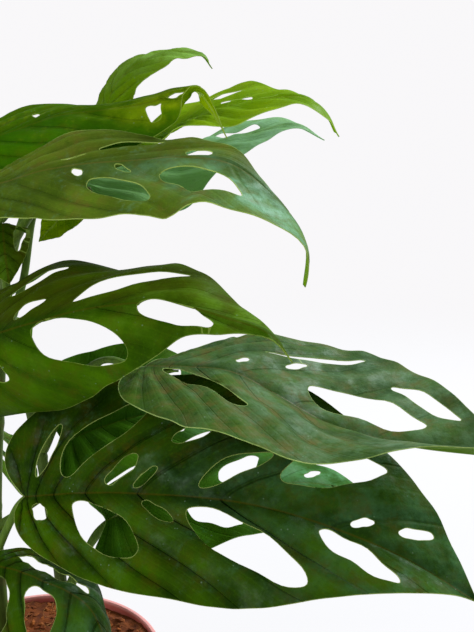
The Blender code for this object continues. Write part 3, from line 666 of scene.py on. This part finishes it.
stalkForm = {
    "ringStep": 1.6,
    "rootSunk": 0.4,  # how far its root lies in the stem
    "rootRadius": 2.3,
    "topRadius": 1.5,
    "underBlade": 0.10,
    "tuck": 2.2,  # how far its end lies under the blade
    "sides": 14,
    "groove": 0.28,
    "kneeSwell": 0.28,  # the swollen knee just below the blade
    "kneeLength": 5,
    "kneeBelow": 7,
    "sheathSwell": 0.35,  # the sheath that clasps the stem
    "sheathLength": 12,
    "endLength": 6,  # it thins out over this far under the blade
    "endShare": 0.35,
    "colours": ((0.11, 0.19, 0.018), (0.052, 0.11, 0.009), (0.092, 0.074, 0.02)),  # light, dark, brown
}


def makeStalk(name, leaf, material):
    f = stalkForm
    stem = stemPath(leaf["stem"])
    rib = Path(leaf["rib"])
    root = stem.at(stem.distanceAtHeight(leaf["height"]))
    away = np.array(leaf["bend"][0]) - root
    start = root + away / np.linalg.norm(away) * (stemForm["radius"] - f["rootSunk"])
    under = rib.length * f["underBlade"]
    along = rib.direction(0.0)
    right = np.array(leaf["side"][0], float)
    below = -np.cross(right - along * right.dot(along), along)
    below = below / np.linalg.norm(below) * f["tuck"]
    route = Path([start, *leaf["bend"], np.array(leaf["rib"][0]) + below, rib.at(under) + below])
    kneeAt = 1 - (under + f["kneeBelow"]) / route.length
    share = np.linspace(0, 1, int(route.length / f["ringStep"]) + 2)
    fromKnee = (share - kneeAt) * route.length / f["kneeLength"]
    fromStem = share * route.length / f["sheathLength"]
    radii = f["rootRadius"] + (f["topRadius"] - f["rootRadius"]) * share
    radii = swollen(swollen(radii, f["kneeSwell"], fromKnee), f["sheathSwell"], fromStem)
    radii = radii * np.clip((1 - share) * route.length / f["endLength"], f["endShare"], 1)
    points, faces = tubeMesh(route, radii, f["sides"], f["groove"])
    piece = closedOut(newPiece(name, points, faces, 60))
    return dress(piece, material, "stem", name.removesuffix("_stalk"))


# The looks are lit and shaded copies of one leaf green; the brighter ones are painted light.
leafLooks = {
    # deep, main and olive greens of the upper side, the painted sheen that grows towards the tip, the
    # underside, the margin's line and the light that comes through; far shades the half on the left of
    # the midrib, and the vein setting gives the painted shade in the side veins' creases and their depth
    "deep": dict(
        deep=(0.005, 0.018, 0.0005), main=(0.044, 0.112, 0.0005), olive=(0.066, 0.05, 0.002),
        paintedSheen=(0.06, 0.165, 0.062), paintedSheenAt=(0.45, 1.1, 0.6), far=("deep", 0.55),
        under=(0.085, 0.2, 0.002), rim=(0.25, 0.32, 0.08), through=(0.16, 0.42, 0.001),
        veins=0.45, mottle=0.6, greySheenShare=0.26, sheen=0.18, glow=0.05, gloss=0.015,
    ),
    "slate": dict(
        deep=(0.012, 0.036, 0.003), main=(0.058, 0.122, 0.01), olive=(0.13, 0.1, 0.026),
        paintedSheen=(0.098, 0.188, 0.084), paintedSheenAt=(0.02, 0.95, 0.75), far=("paintedSheen", 0.1),
        under=(0.09, 0.2, 0.004), rim=(0.3, 0.4, 0.12), through=(0.16, 0.4, 0.004),
        veins=0.14, mottle=0.95, greySheenShare=0.25, sheen=0.14, glow=0.04, gloss=0.02,
    ),
    "dusky": dict(
        deep=(0.034, 0.068, 0.003), main=(0.106, 0.18, 0.01), olive=(0.13, 0.11, 0.016),
        paintedSheen=(0.15, 0.37, 0.2), paintedSheenAt=(0.66, 0.96, 0.95), far=("olive", 0.1),
        under=(0.17, 0.35, 0.004), rim=(0.33, 0.44, 0.1), through=(0.18, 0.42, 0.002),
        veins=0.08, mottle=0.75, greySheenShare=0.18, sheen=0.1, glow=0.06, gloss=0.02,
    ),
    "green": dict(
        deep=(0.012, 0.038, 0.0005), main=(0.046, 0.12, 0.0005), olive=(0.064, 0.056, 0.003),
        paintedSheen=(0.12, 0.25, 0.008), paintedSheenAt=(0.62, 1.0, 0.9), far=("olive", 0.38),
        under=(0.07, 0.17, 0.001), rim=(0.17, 0.25, 0.04), through=(0.14, 0.36, 0.001),
        veins=0.16, mottle=0.6, greySheenShare=0.1, sheen=0.06, glow=0.03, gloss=0.01,
    ),
    "shade": dict(
        deep=(0.018, 0.06, 0.001), main=(0.054, 0.156, 0.006), olive=(0.066, 0.09, 0.006),
        paintedSheen=(0.11, 0.31, 0.12), paintedSheenAt=(0.5, 0.9, 0.95), far=("deep", 0.15),
        under=(0.08, 0.2, 0.008), rim=(0.18, 0.29, 0.06), through=(0.16, 0.46, 0.01),
        veins=0.16, mottle=0.5, greySheenShare=0.15, sheen=0.06, glow=0.12, gloss=0.01,
    ),
    # a copy painted lighter: light from behind on the top left leaf, and painted light on the hanging leaf in
    # shade
    "lime": dict(
        deep=(0.018, 0.07, 0.0005), main=(0.046, 0.155, 0.0005), olive=(0.085, 0.1, 0.003),
        paintedSheen=(0.37, 0.5, 0.001), paintedSheenAt=(0.68, 0.92, 0.95), far=("olive", 0.3),
        under=(0.27, 0.41, 0.001), rim=(0.3, 0.42, 0.06), through=(0.34, 0.66, 0.001),
        veins=0.16, mottle=0.55, greySheenShare=0.15, sheen=0.08, glow=0.18, gloss=0.01,
    ),
    # a copy painted lighter: light from behind on the upright top leaf
    "fresh": dict(
        deep=(0.07, 0.14, 0.001), main=(0.12, 0.23, 0.002), olive=(0.12, 0.12, 0.006),
        paintedSheen=(0.27, 0.5, 0.095), paintedSheenAt=(0.45, 0.9, 0.9), far=("olive", 0.1),
        under=(0.15, 0.32, 0.002), rim=(0.3, 0.42, 0.06), through=(0.34, 0.66, 0.002),
        veins=0.15, mottle=0.4, greySheenShare=0.15, sheen=0.08, glow=0.2, gloss=0.01,
    ),
    # a copy painted bright yellow-green: light from behind on the top right leaf
    "yellow": dict(
        deep=(0.11, 0.22, 0.001), main=(0.26, 0.4, 0.003), olive=(0.18, 0.19, 0.02),
        paintedSheen=(0.26, 0.48, 0.03), paintedSheenAt=(0.6, 1.2, 0.5), far=("paintedSheen", 0.15),
        under=(0.25, 0.44, 0.003), rim=(0.42, 0.56, 0.11), through=(0.5, 0.78, 0.005),
        veins=0.12, mottle=0.55, greySheenShare=0.15, sheen=0.06, glow=0.28, gloss=0.01,
    ),
    # a copy painted pale blue-green all over: painted sheen, made paler against the shadow cast on it by the
    # leaf in front
    "mist": dict(
        deep=(0.15, 0.29, 0.09), main=(0.23, 0.43, 0.17), olive=(0.21, 0.3, 0.09),
        paintedSheen=(0.3, 0.52, 0.33), paintedSheenAt=(0.35, 0.85, 0.9), far=("paintedSheen", 0.0),
        under=(0.19, 0.4, 0.17), rim=(0.28, 0.46, 0.26), through=(0.44, 0.74, 0.3),
        veins=0.1, mottle=0.3, greySheenShare=0.3, sheen=0.08, glow=0.32, gloss=0.02,
    ),
}


leafPattern = {
    "speckColour": (0.3, 0.4, 0.3),
    "clouds": 26,  # each of these is how many to a metre
    "patches": 75,
    "blotches": 110,
    "dapples": 260,
    "grain": 700,
    "specks": 420,
}


def paintLeaf(name, look):
    p = newPaint(name)
    vein = p.node("ShaderNodeUVMap", {"uv_map": "vein"})
    along = p.node("ShaderNodeSeparateXYZ", None, {0: vein}, "X")
    half = p.node("ShaderNodeSeparateXYZ", None, {0: vein}, "Y")
    out = abs(half)
    edge = p.node("ShaderNodeAttribute", {"attribute_name": "edge"}, out="Fac")
    side = p.node("ShaderNodeAttribute", {"attribute_name": "side"}, out="Fac")
    rib = p.node("ShaderNodeAttribute", {"attribute_name": "rib"}, out="Fac")
    place = p.place()
    broad = p.cloud(place, leafPattern["clouds"], 3)
    patchy = p.cloud(place, leafPattern["patches"], 5, 0.65)
    blotch = p.cloud(place, leafPattern["blotches"], 5, 0.7)
    dapple = p.cloud(place, leafPattern["dapples"], 4, 0.7)
    grain = p.cloud(place, leafPattern["grain"], 3, 0.6)
    # side veins lie where the puckers end, each with a flank of painted shade towards the stalk, where the
    # pucker turns from the light
    phase = along * bladeForm["sideVeins"] + (broad - 0.5) * 0.12
    fromVein = abs(p.fraction(phase + 0.5) - 0.5)
    sideVein = p.band(fromVein, 0.0, 0.045, 1, 0) * p.band(out, 0.0, 0.95, 1, 0.3)
    nearVein = p.band(fromVein, 0.0, 0.34, 1, 0)
    flankShade = p.band(p.fraction(phase), 0.62, 0.97) * p.band(out, 0.75, 1.0, 1, 0.4) * min(1, look["veins"] * 3)
    fineVein = p.band(abs(p.fraction(phase * 4 + 0.5) - 0.5), 0.0, 0.2, 1, 0)
    ribLine = p.band(rib, 0.25, 0.75, 1, 0)
    ribShade = p.band(rib, 0.8, 9.0, 1, 0)
    # painted light: lit patches of the main green, held back by painted shade near the veins and on the
    # flanks
    lit = p.band(broad, 0.25, 0.66) * (1 - nearVein * 0.35) * (1 - flankShade * 0.6)
    far = p.band(half, -0.12, 0.0, 1, 0)
    shade, amount = look["far"]
    start, end, most = look["paintedSheenAt"]
    # painted sheen, growing along the blade in patches: a painted sky reflection on the waxy top of the dark
    # looks, and painted light from behind at the tip of the yellow-green ones
    paintedSheen = p.band(along, start, end, 0, most) * p.band(patchy, 0.36, 0.62, 0.20, 1)
    brown = p.band(blotch, 0.42, 0.68) * p.band(broad, 0.35, 0.60, 0.3, 1) * (0.6 + 0.4 * nearVein)
    # painted sheen: pale grey-green dapples in the sheen colour
    greySheenPatches = p.band(dapple, 0.50, 0.68) * p.band(patchy, 0.46, 0.60)
    darker = p.band(dapple, 0.30, 0.50, 1, 0) * p.band(blotch, 0.35, 0.55, 1, 0.2)
    above = p.layers(
        look["deep"],
        (lit, look["main"]),
        # the left half tinted; where it takes the sheen colour this is painted sheen
        (far * amount, look[shade]),
        # painted sheen
        (paintedSheen, look["paintedSheen"]),
        (brown * look["mottle"], look["olive"]),
        # painted sheen in grey-green dapples
        (greySheenPatches * look["greySheenShare"], look["paintedSheen"]),
        (darker * look["mottle"] * 0.6, look["deep"]),
        (ribShade * 0.55, look["deep"]),
        # painted shade along the side veins' creases
        (sideVein * look["veins"], look["deep"]),
        (fineVein * 0.05 + p.band(grain, 0.52, 0.75) * 0.12, scaled(look["main"], 1.9)),
        (ribLine * 0.45, look["olive"]),
    )
    below = p.layers(
        look["under"],
        (p.band(patchy, 0.3, 0.7) * 0.5, look["main"]),
        (ribLine * 0.6 + sideVein * 0.35, look["rim"]),
    )
    line = p.band(edge, 0.10, 0.36, 1, 0) * p.band(patchy, 0.30, 0.52, 0.35, 0.95)
    few = p.band(p.cells(place, leafPattern["specks"], "Color"), 0.70, 0.74) * p.band(patchy, 0.48, 0.56)
    specks = p.band(p.cells(place, leafPattern["specks"]), 0.06, 0.20, 1, 0) * few * side
    colour = p.layers(
        below,
        (p.band(side, 0.35, 0.65), above),
        (line, look["rim"]),
        (specks * 0.32, leafPattern["speckColour"]),
    )
    sheen = p.band(patchy, 0.45, 0.62) * p.band(dapple, 0.35, 0.60, 0.4, 1) * side
    roughness = 0.50 - sheen * 0.10 + grain * 0.10 + (1 - side) * 0.10
    height = grain * 0.12 + dapple * 0.30 + patchy * 1.0 - sideVein * (3.4 * look["veins"]) - fineVein * 0.10
    normal = p.bump(height, 0.9, 0.0009)
    thin = look["glow"] * (0.75 + 0.5 * broad)
    return p.surface(colour, roughness, normal, (thin, look["through"]), Specular_IOR_Level=look["gloss"],
                     Coat_Weight=sheen * look["sheen"], Coat_Roughness=0.34, Coat_IOR=1.4)


# The stems, round and jointed, with a ring where each stalk leaves.

stemForm = {
    "radius": 3.2,
    "tipRadius": 2.4,
    "depth": 28.0,
    "straight": 20.0,
    "soilTop": 105.0,
    "sides": 20,
    "ringStep": 1.5,
    "ringSwell": 0.16,  # where a stalk leaves
    "ringLength": 3.0,
    "jointSpacing": 38.0,
    "jointSwell": 0.10,
    "jointShare": 0.035,  # a joint's length, as a share of their spacing
    "tipLength": 5,
    "colours": ((0.08, 0.13, 0.018), (0.036, 0.068, 0.008), (0.095, 0.06, 0.022)),
}
stemRoutes = {
    "stem_front": ((-18, -12), ((-20, -14, 150), (-27, -16, 200), (-35, -15, 236))),
    "stem_right": ((14, 2), ((10, 12, 160), (0, 27, 212), (-15, 47, 262), (-22, 52, 330))),
    "stem_back": ((-26, 34), ((-28, 42, 170), (-25, 55, 240), (-19, 62, 314))),
    "stem_left": ((-32, 12), ((-36, 14, 160), (-44, 18, 225), (-50, 20, 275))),
}


def stemPath(name):
    foot, climb = stemRoutes[name]
    heights = (-stemForm["depth"], 0, stemForm["straight"])
    return Path([(*foot, stemForm["soilTop"] + h) for h in heights] + list(climb))


def makeStem(name, material):
    f = stemForm
    path = stemPath(name)
    share = np.linspace(0, 1, int(path.length / f["ringStep"]))
    radii = f["radius"] + (f["tipRadius"] - f["radius"]) * share
    for height in [leaf["height"] for leaf in leafForms.values() if leaf["stem"] == name]:
        fromStalk = (share * path.length - path.distanceAtHeight(height)) / f["ringLength"]
        radii = swollen(radii, f["ringSwell"], fromStalk)
    fromJoint = np.abs((share * path.length / f["jointSpacing"]) % 1 - 0.5) / f["jointShare"]
    radii = swollen(radii, f["jointSwell"], fromJoint)
    left = (1 - share) * path.length  # the growing tip closes to a point
    radii = radii * np.sqrt(np.clip(left / f["tipLength"], 0.004, 1))
    points, faces = tubeMesh(path, radii, f["sides"])
    return dress(closedOut(newPiece(name + "_bark", points, faces, 60)), material, "stem", name)


def paintStem(name, light, dark, brown):
    p = newPaint(name)
    place = p.place()
    streak = p.node("ShaderNodeMapping", None, {"Vector": place, "Scale": (1, 1, 0.12)})
    lines = p.cloud(streak, 900, 3)
    broad = p.cloud(place, 60, 4)
    spots = p.band(p.cells(place, 650), 0.10, 0.24, 1, 0) * p.band(broad, 0.45, 0.6)
    colour = p.layers(
        light,
        (p.band(lines, 0.35, 0.65) * 0.6 + broad * 0.3, dark),
        (p.band(broad, 0.52, 0.72) * 0.55, brown),
        (spots * 0.5, scaled(light, 1.5)),
    )
    normal = p.bump(lines + broad * 0.6, 0.4, 0.0003)
    return p.surface(colour, 0.45 + lines * 0.2, normal, Specular_IOR_Level=0.20)


# The pot: drawn up from its foot, over the lip and down inside, with its drain holes.

potForm = {
    "height": 108.5,
    "mouth": 62.0,
    "foot": 47.0,
    "wall": 2.0,
    "floor": 3.0,
    "collar": 22.0,
    "collarStep": 2.5,
    "ledge": (7.0, 4.0),  # the ledge inside, from and to above the collar's low edge
    "sides": 120,
    "drainHoles": 4,
    "drainRadius": 4.0,
    "drainCircle": 30.0,
    "drillDepth": 20.0,
    "softEdge": 0.45,
    "clay": (0.47, 0.088, 0.066),
    "paleClay": (0.58, 0.13, 0.105),
    "dust": (0.62, 0.24, 0.2),
    "lip": (0.86, 0.38, 0.36),  # a painted highlight along the lip, between these depths under the rim
    "lipHighlightDepths": (2.5, 0.2),
    "stain": (0.22, 0.07, 0.05),
    "stainHeight": 20.0,
}


def deselectAll():
    for each in bpy.context.selected_objects:
        each.select_set(False)


def applied(piece):
    deselectAll()
    bpy.context.view_layer.objects.active = piece
    piece.select_set(True)
    for modifier in list(piece.modifiers):
        bpy.ops.object.modifier_apply(modifier=modifier.name)
    return piece


def makePot(material):
    f = potForm
    low = f["height"] - f["collar"]
    wall = f["mouth"] - f["collarStep"]
    inner = f["mouth"] - f["wall"]
    # (radius, height) of each ring after the first, from the foot's outer edge round to the floor inside
    rings = (
        (wall, low), (f["mouth"], low), (f["mouth"], f["height"]), (inner, f["height"]),
        (inner, low + f["ledge"][0]), (wall - f["wall"], low + f["ledge"][1]),
        (f["foot"] - f["wall"], f["floor"]),
    )
    deselectAll()
    bpy.ops.mesh.primitive_circle_add(vertices=f["sides"], radius=f["foot"] * mm, fill_type="NGON")
    pot = bpy.context.object
    pot.name = pot.data.name = "pot_shell"
    bpy.ops.object.mode_set(mode="EDIT")
    bpy.ops.mesh.select_all(action="SELECT")
    radius, height = f["foot"], 0
    for nextRadius, nextHeight in rings:
        bpy.ops.mesh.extrude_region_move(TRANSFORM_OT_translate={"value": (0, 0, (nextHeight - height) * mm)})
        scale = nextRadius / radius
        bpy.ops.transform.resize(value=(scale, scale, 1), center_override=(0, 0, nextHeight * mm))
        radius, height = nextRadius, nextHeight
    bpy.ops.mesh.select_all(action="SELECT")
    bpy.ops.mesh.normals_make_consistent(inside=False)
    bpy.ops.object.mode_set(mode="OBJECT")
    for k in range(f["drainHoles"]):
        centre = (*onCircle(f["drainCircle"] * mm, tau * k / f["drainHoles"]), 0)
        deselectAll()
        bpy.ops.mesh.primitive_cylinder_add(
            vertices=32, radius=f["drainRadius"] * mm, depth=f["drillDepth"] * mm, location=centre)
        drill = bpy.context.object
        cut = pot.modifiers.new("drain", "BOOLEAN")
        cut.object = drill
        cut.operation = "DIFFERENCE"
        cut.solver = "EXACT"
        applied(pot)
        bpy.data.objects.remove(drill)
    soften = pot.modifiers.new("softEdges", "BEVEL")
    soften.width = f["softEdge"] * mm
    soften.segments = 3
    soften.limit_method = "ANGLE"
    soften.angle_limit = math.radians(30)
    applied(pot)
    deselectAll()
    pot.select_set(True)
    bpy.ops.object.shade_smooth_by_angle(angle=math.radians(35))
    return dress(pot, material, "pot", "pot")


def paintPot():
    f = potForm
    p = newPaint("potClay")
    place = p.place()
    height = p.node("ShaderNodeSeparateXYZ", None, {0: place}, "Z")
    broad = p.cloud(place, 35, 4)
    fine = p.cloud(place, 900, 3)
    flow = p.node("ShaderNodeMapping", None, {"Vector": place, "Scale": (1, 1, 14)})
    rings = p.cloud(flow, 22, 2)
    lip = p.band(height, *[(f["height"] - depth) * mm for depth in f["lipHighlightDepths"]])
    low = p.band(height, 0.0, f["stainHeight"] * mm, 1, 0)
    colour = p.layers(
        f["clay"],
        (p.band(broad, 0.3, 0.7), f["paleClay"]),
        (p.band(fine, 0.55, 0.8) * 0.25, f["dust"]),
        # painted highlight along the lip
        (lip * 0.90, f["lip"]),
        (low * p.band(broad, 0.4, 0.7) * 0.3, f["stain"]),
    )
    normal = p.bump(fine * 0.5 + rings, 0.35, 0.00025)
    return p.surface(colour, 0.42 + fine * 0.16, normal, Specular_IOR_Level=0.45)


# The soil: a lumpy bed with loose bark chips and fibres on it.

soilForm = {
    "top": 105.0,
    "edge": 59.4,
    "potGap": 0.6,
    "lump": 2.2,
    "lumpSize": 11.0,
    "fineLump": 1.3,
    "fineSize": 3.6,
    "rings": 60,
    "sides": 150,
    "chips": 560,
    "chipSize": (2.2, 6.5),
    "chipWidth": (0.45, 0.9),  # shares of its length
    "chipThickness": (0.22, 0.55),
    "chipRoughness": 0.45,
    "chipTilt": 0.5,
    "chipRise": 0.10,
    "fibres": 200,
    "fibreRadius": 0.16,
    "fibreLength": (8.0, 20.0),
    "fibreSteps": 8,
    "fibreRings": 16,
    "fibreBend": 0.10,
    "fibreWander": 0.25,
    "fibreRise": (0.7, 0.8),  # the least, and what chance adds
    "seed": 11,
    "bed": ((0.075, 0.015, 0.002), (0.2, 0.048, 0.007), 160),  # dark, light, clouds to a metre
    "bark": ((0.125, 0.026, 0.003), (0.32, 0.09, 0.016), 120),
    "coir": ((0.2, 0.07, 0.018), (0.36, 0.155, 0.05), 200),
}


def soilHeight(x, y):
    f = soilForm
    lump = f["lump"] * noise.noise(Vector((x, y, 0)) / f["lumpSize"])
    fine = f["fineLump"] * noise.noise(Vector((x, y, 5)) / f["fineSize"])
    return f["top"] + lump + fine


def nearStem(x, y, reach):
    return any(math.hypot(x - foot[0], y - foot[1]) < reach for foot, _ in stemRoutes.values())


def makeSoil(material):
    f = soilForm
    collarLow = potForm["height"] - potForm["collar"]
    wall = potForm["mouth"] - potForm["collarStep"]
    gap = potForm["wall"] + f["potGap"]
    sides = f["sides"]
    points = [(0, 0, soilHeight(0, 0) * mm)]
    rings = [(f["edge"] * ring / f["rings"], None) for ring in range(1, f["rings"] + 1)]
    rings += [(f["edge"], collarLow + potForm["ledge"][0]), (wall - gap, collarLow + potForm["ledge"][1]),
              (potForm["foot"] - gap + 0.5, potForm["floor"] + 0.3)]
    for radius, height in rings:  # the top's rings follow its lumps
        for k in range(sides):
            x, y = onCircle(radius, tau * k / sides)
            z = soilHeight(x, y) if height is None else height
            points.append((x * mm, y * mm, z * mm))
    faces = [(0, 1 + k, 1 + (k + 1) % sides) for k in range(sides)] + ringFaces(len(rings), sides, 1)
    return dress(closedOut(newPiece("soil_bed", points, faces, 60)), material, "soil", "soil")


def anySpot(draw, radius):
    reach = radius * math.sqrt(draw.random())
    return onCircle(reach, draw.random() * tau)


def makeChips(material):
    f = soilForm
    draw = random.Random(f["seed"])
    points = []
    faces = []
    made = 0
    while made < f["chips"]:
        size = draw.uniform(*f["chipSize"]) * (0.45 + 0.55 * draw.random())
        x, y = anySpot(draw, f["edge"] - size * 0.8)
        if nearStem(x, y, stemForm["radius"] + size * 0.7):
            continue
        made += 1
        shape = bmesh.new()
        bmesh.ops.create_icosphere(shape, subdivisions=1, radius=1.0)
        flatness = Vector((1, draw.uniform(*f["chipWidth"]), draw.uniform(*f["chipThickness"])))
        lean = [draw.uniform(-f["chipTilt"], f["chipTilt"]) for _ in range(2)]
        turn = Vector((*lean, 1)).to_track_quat("Z", "Y").to_matrix()
        turn = turn @ Matrix.Rotation(draw.random() * tau, 3, "Z")
        centre = Vector((x, y, soilHeight(x, y) + size * f["chipRise"]))
        first = len(points)
        for corner in shape.verts:
            rough = 1 + f["chipRoughness"] * noise.noise(corner.co * 1.7 + Vector((made * 3.1, 0, 0)))
            placed = turn @ (corner.co * flatness * (size / 2 * rough))
            points.append((placed + centre) * mm)
        faces.extend(tuple(first + v.index for v in face.verts) for face in shape.faces)
        shape.free()
    return dress(newPiece("soil_chips", points, faces, 25), material, "soil")


def makeFibres(material):
    f = soilForm
    draw = random.Random(f["seed"] + 1)
    points = []
    faces = []
    made = 0
    while made < f["fibres"]:
        x, y = anySpot(draw, f["edge"] - 9)
        heading = draw.random() * tau
        bend = draw.uniform(-f["fibreBend"], f["fibreBend"])
        step = draw.uniform(*f["fibreLength"]) / f["fibreSteps"]
        route = []
        for _ in range(f["fibreSteps"] + 1):
            if math.hypot(x, y) > f["edge"] - 1 or nearStem(x, y, 4.5):
                break
            least, more = f["fibreRise"]
            route.append((x, y, soilHeight(x, y) + least + more * draw.random()))
            heading += bend + draw.uniform(-f["fibreWander"], f["fibreWander"])
            x += step * math.cos(heading)
            y += step * math.sin(heading)
        if len(route) < 4:
            continue
        made += 1
        corners, sides = tubeMesh(Path(route), np.full(f["fibreRings"], f["fibreRadius"]), 4)
        first = len(points)
        points.extend(corners)
        faces.extend(tuple(first + k for k in side) for side in sides)
    return dress(closedOut(newPiece("soil_fibres", points, faces, 60)), material, "soil")


def paintSoil(name, dark, light, scale):
    p = newPaint(name)
    place = p.place()
    broad = p.cloud(place, scale, 4, 0.6)
    fine = p.cloud(place, scale * 8, 5, 0.7)
    colour = p.layers(
        dark,
        (p.band(broad, 0.32, 0.66), light),
        (p.band(fine, 0.50, 0.75) * 0.45, scaled(dark, 0.3)),
    )
    normal = p.bump(fine + broad * 0.5, 0.9, 0.0006)
    return p.surface(colour, 0.80 + fine * 0.2, normal, Specular_IOR_Level=0.25)


# Everything is made here.

looks = {key: paintLeaf("leaf_" + key, look) for key, look in leafLooks.items()}
stalkPaint = paintStem("stalkGreen", *stalkForm["colours"])
stemPaint = paintStem("stemGreen", *stemForm["colours"])
for number, (name, leaf) in enumerate(leafForms.items()):
    makeBlade(name + "_blade", leaf, bladeForm["seedStep"] * number + 1, looks[leaf["look"]])
    makeStalk(name + "_stalk", leaf, stalkPaint)
print("leaves made:", len(leafForms))
for name in stemRoutes:
    makeStem(name, stemPaint)
print("stems made:", len(stemRoutes))
makePot(paintPot())
makeSoil(paintSoil("soilBed", *soilForm["bed"]))
makeChips(paintSoil("soilBark", *soilForm["bark"]))
makeFibres(paintSoil("soilCoir", *soilForm["coir"]))
print("pot and soil made")


# Camera, light and floor.

stageForm = {
    "cameraPlace": (0.100, -0.390, 0.375),
    "cameraPitch": 77.0,
    "lens": 50.0,
    "floorRadius": 60.0,
    "floorColour": (0.15, 0.15, 0.153),
    "floorGlow": 0.80,  # of the white, at the plant
    "floorFade": (0.5, 1.6),  # where the floor turns into the backdrop's white
    "white": (0.946, 0.936, 0.950),  # the backdrop as the camera sees it
    "roomLight": (0.90, 0.95, 1.0),  # the light that it gives
    "roomStrength": 0.48,
}
# each lamp: where it stands, what it looks at, its size, power and colour
lamps = {
    "window": ((0.90, 0.80, 1.25), (0.05, 0.0, 0.26), 0.9, 34, (0.88, 0.95, 1.0)),
    "fill": ((-0.7, -1.1, 1.0), (0.05, 0.0, 0.25), 0.7, 10, (1.0, 0.99, 0.96)),
}


def aim(thing, place, target):
    thing.location = place
    thing.rotation_euler = (Vector(target) - Vector(place)).to_track_quat("-Z", "Y").to_euler()


camera = added("camera", bpy.data.cameras.new("camera"))
camera.location = stageForm["cameraPlace"]
camera.rotation_euler = (math.radians(stageForm["cameraPitch"]), 0, 0)
camera.data.lens = stageForm["lens"]
camera.data.clip_start = 0.01
bpy.context.scene.camera = camera
for name, (place, target, size, power, colour) in lamps.items():
    lamp = bpy.data.lights.new(name, "AREA")
    lamp.shape = "DISK"
    lamp.size = size
    lamp.energy = power
    lamp.color = colour
    aim(added(name, lamp), place, target)

deselectAll()
bpy.ops.mesh.primitive_circle_add(vertices=96, radius=stageForm["floorRadius"], fill_type="NGON",
                                  location=(0, 0, -0.0005))
floor = bpy.context.object
floor.name = floor.data.name = "floor"
ground = newPaint("floorWhite")
fromPlant = ground.node("ShaderNodeVectorMath", {"operation": "LENGTH"}, {0: ground.place()}, "Value")
away = ground.band(fromPlant, *stageForm["floorFade"])
nearGlow = scaled(stageForm["white"], stageForm["floorGlow"])
floor.data.materials.append(ground.surface(
    ground.blend(away, stageForm["floorColour"], (0, 0, 0)), 0.9, Specular_IOR_Level=0.0,
    Emission_Color=ground.blend(away, nearGlow, stageForm["white"]), Emission_Strength=1.0))
world = bpy.data.worlds.new("world")
room = Paint(world)
given = room.node("ShaderNodeBackground", None,
                  {"Color": stageForm["roomLight"], "Strength": stageForm["roomStrength"]})
backdrop = room.node("ShaderNodeBackground", None, {"Color": stageForm["white"]})
seen = room.node("ShaderNodeLightPath", out="Is Camera Ray")
shown = room.node("ShaderNodeMixShader", None, {0: seen, 1: given, 2: backdrop})
room.node("ShaderNodeOutputWorld", None, {"Surface": shown})
bpy.context.scene.world = world
bpy.context.scene.view_settings.view_transform = "Standard"
print("stage set")
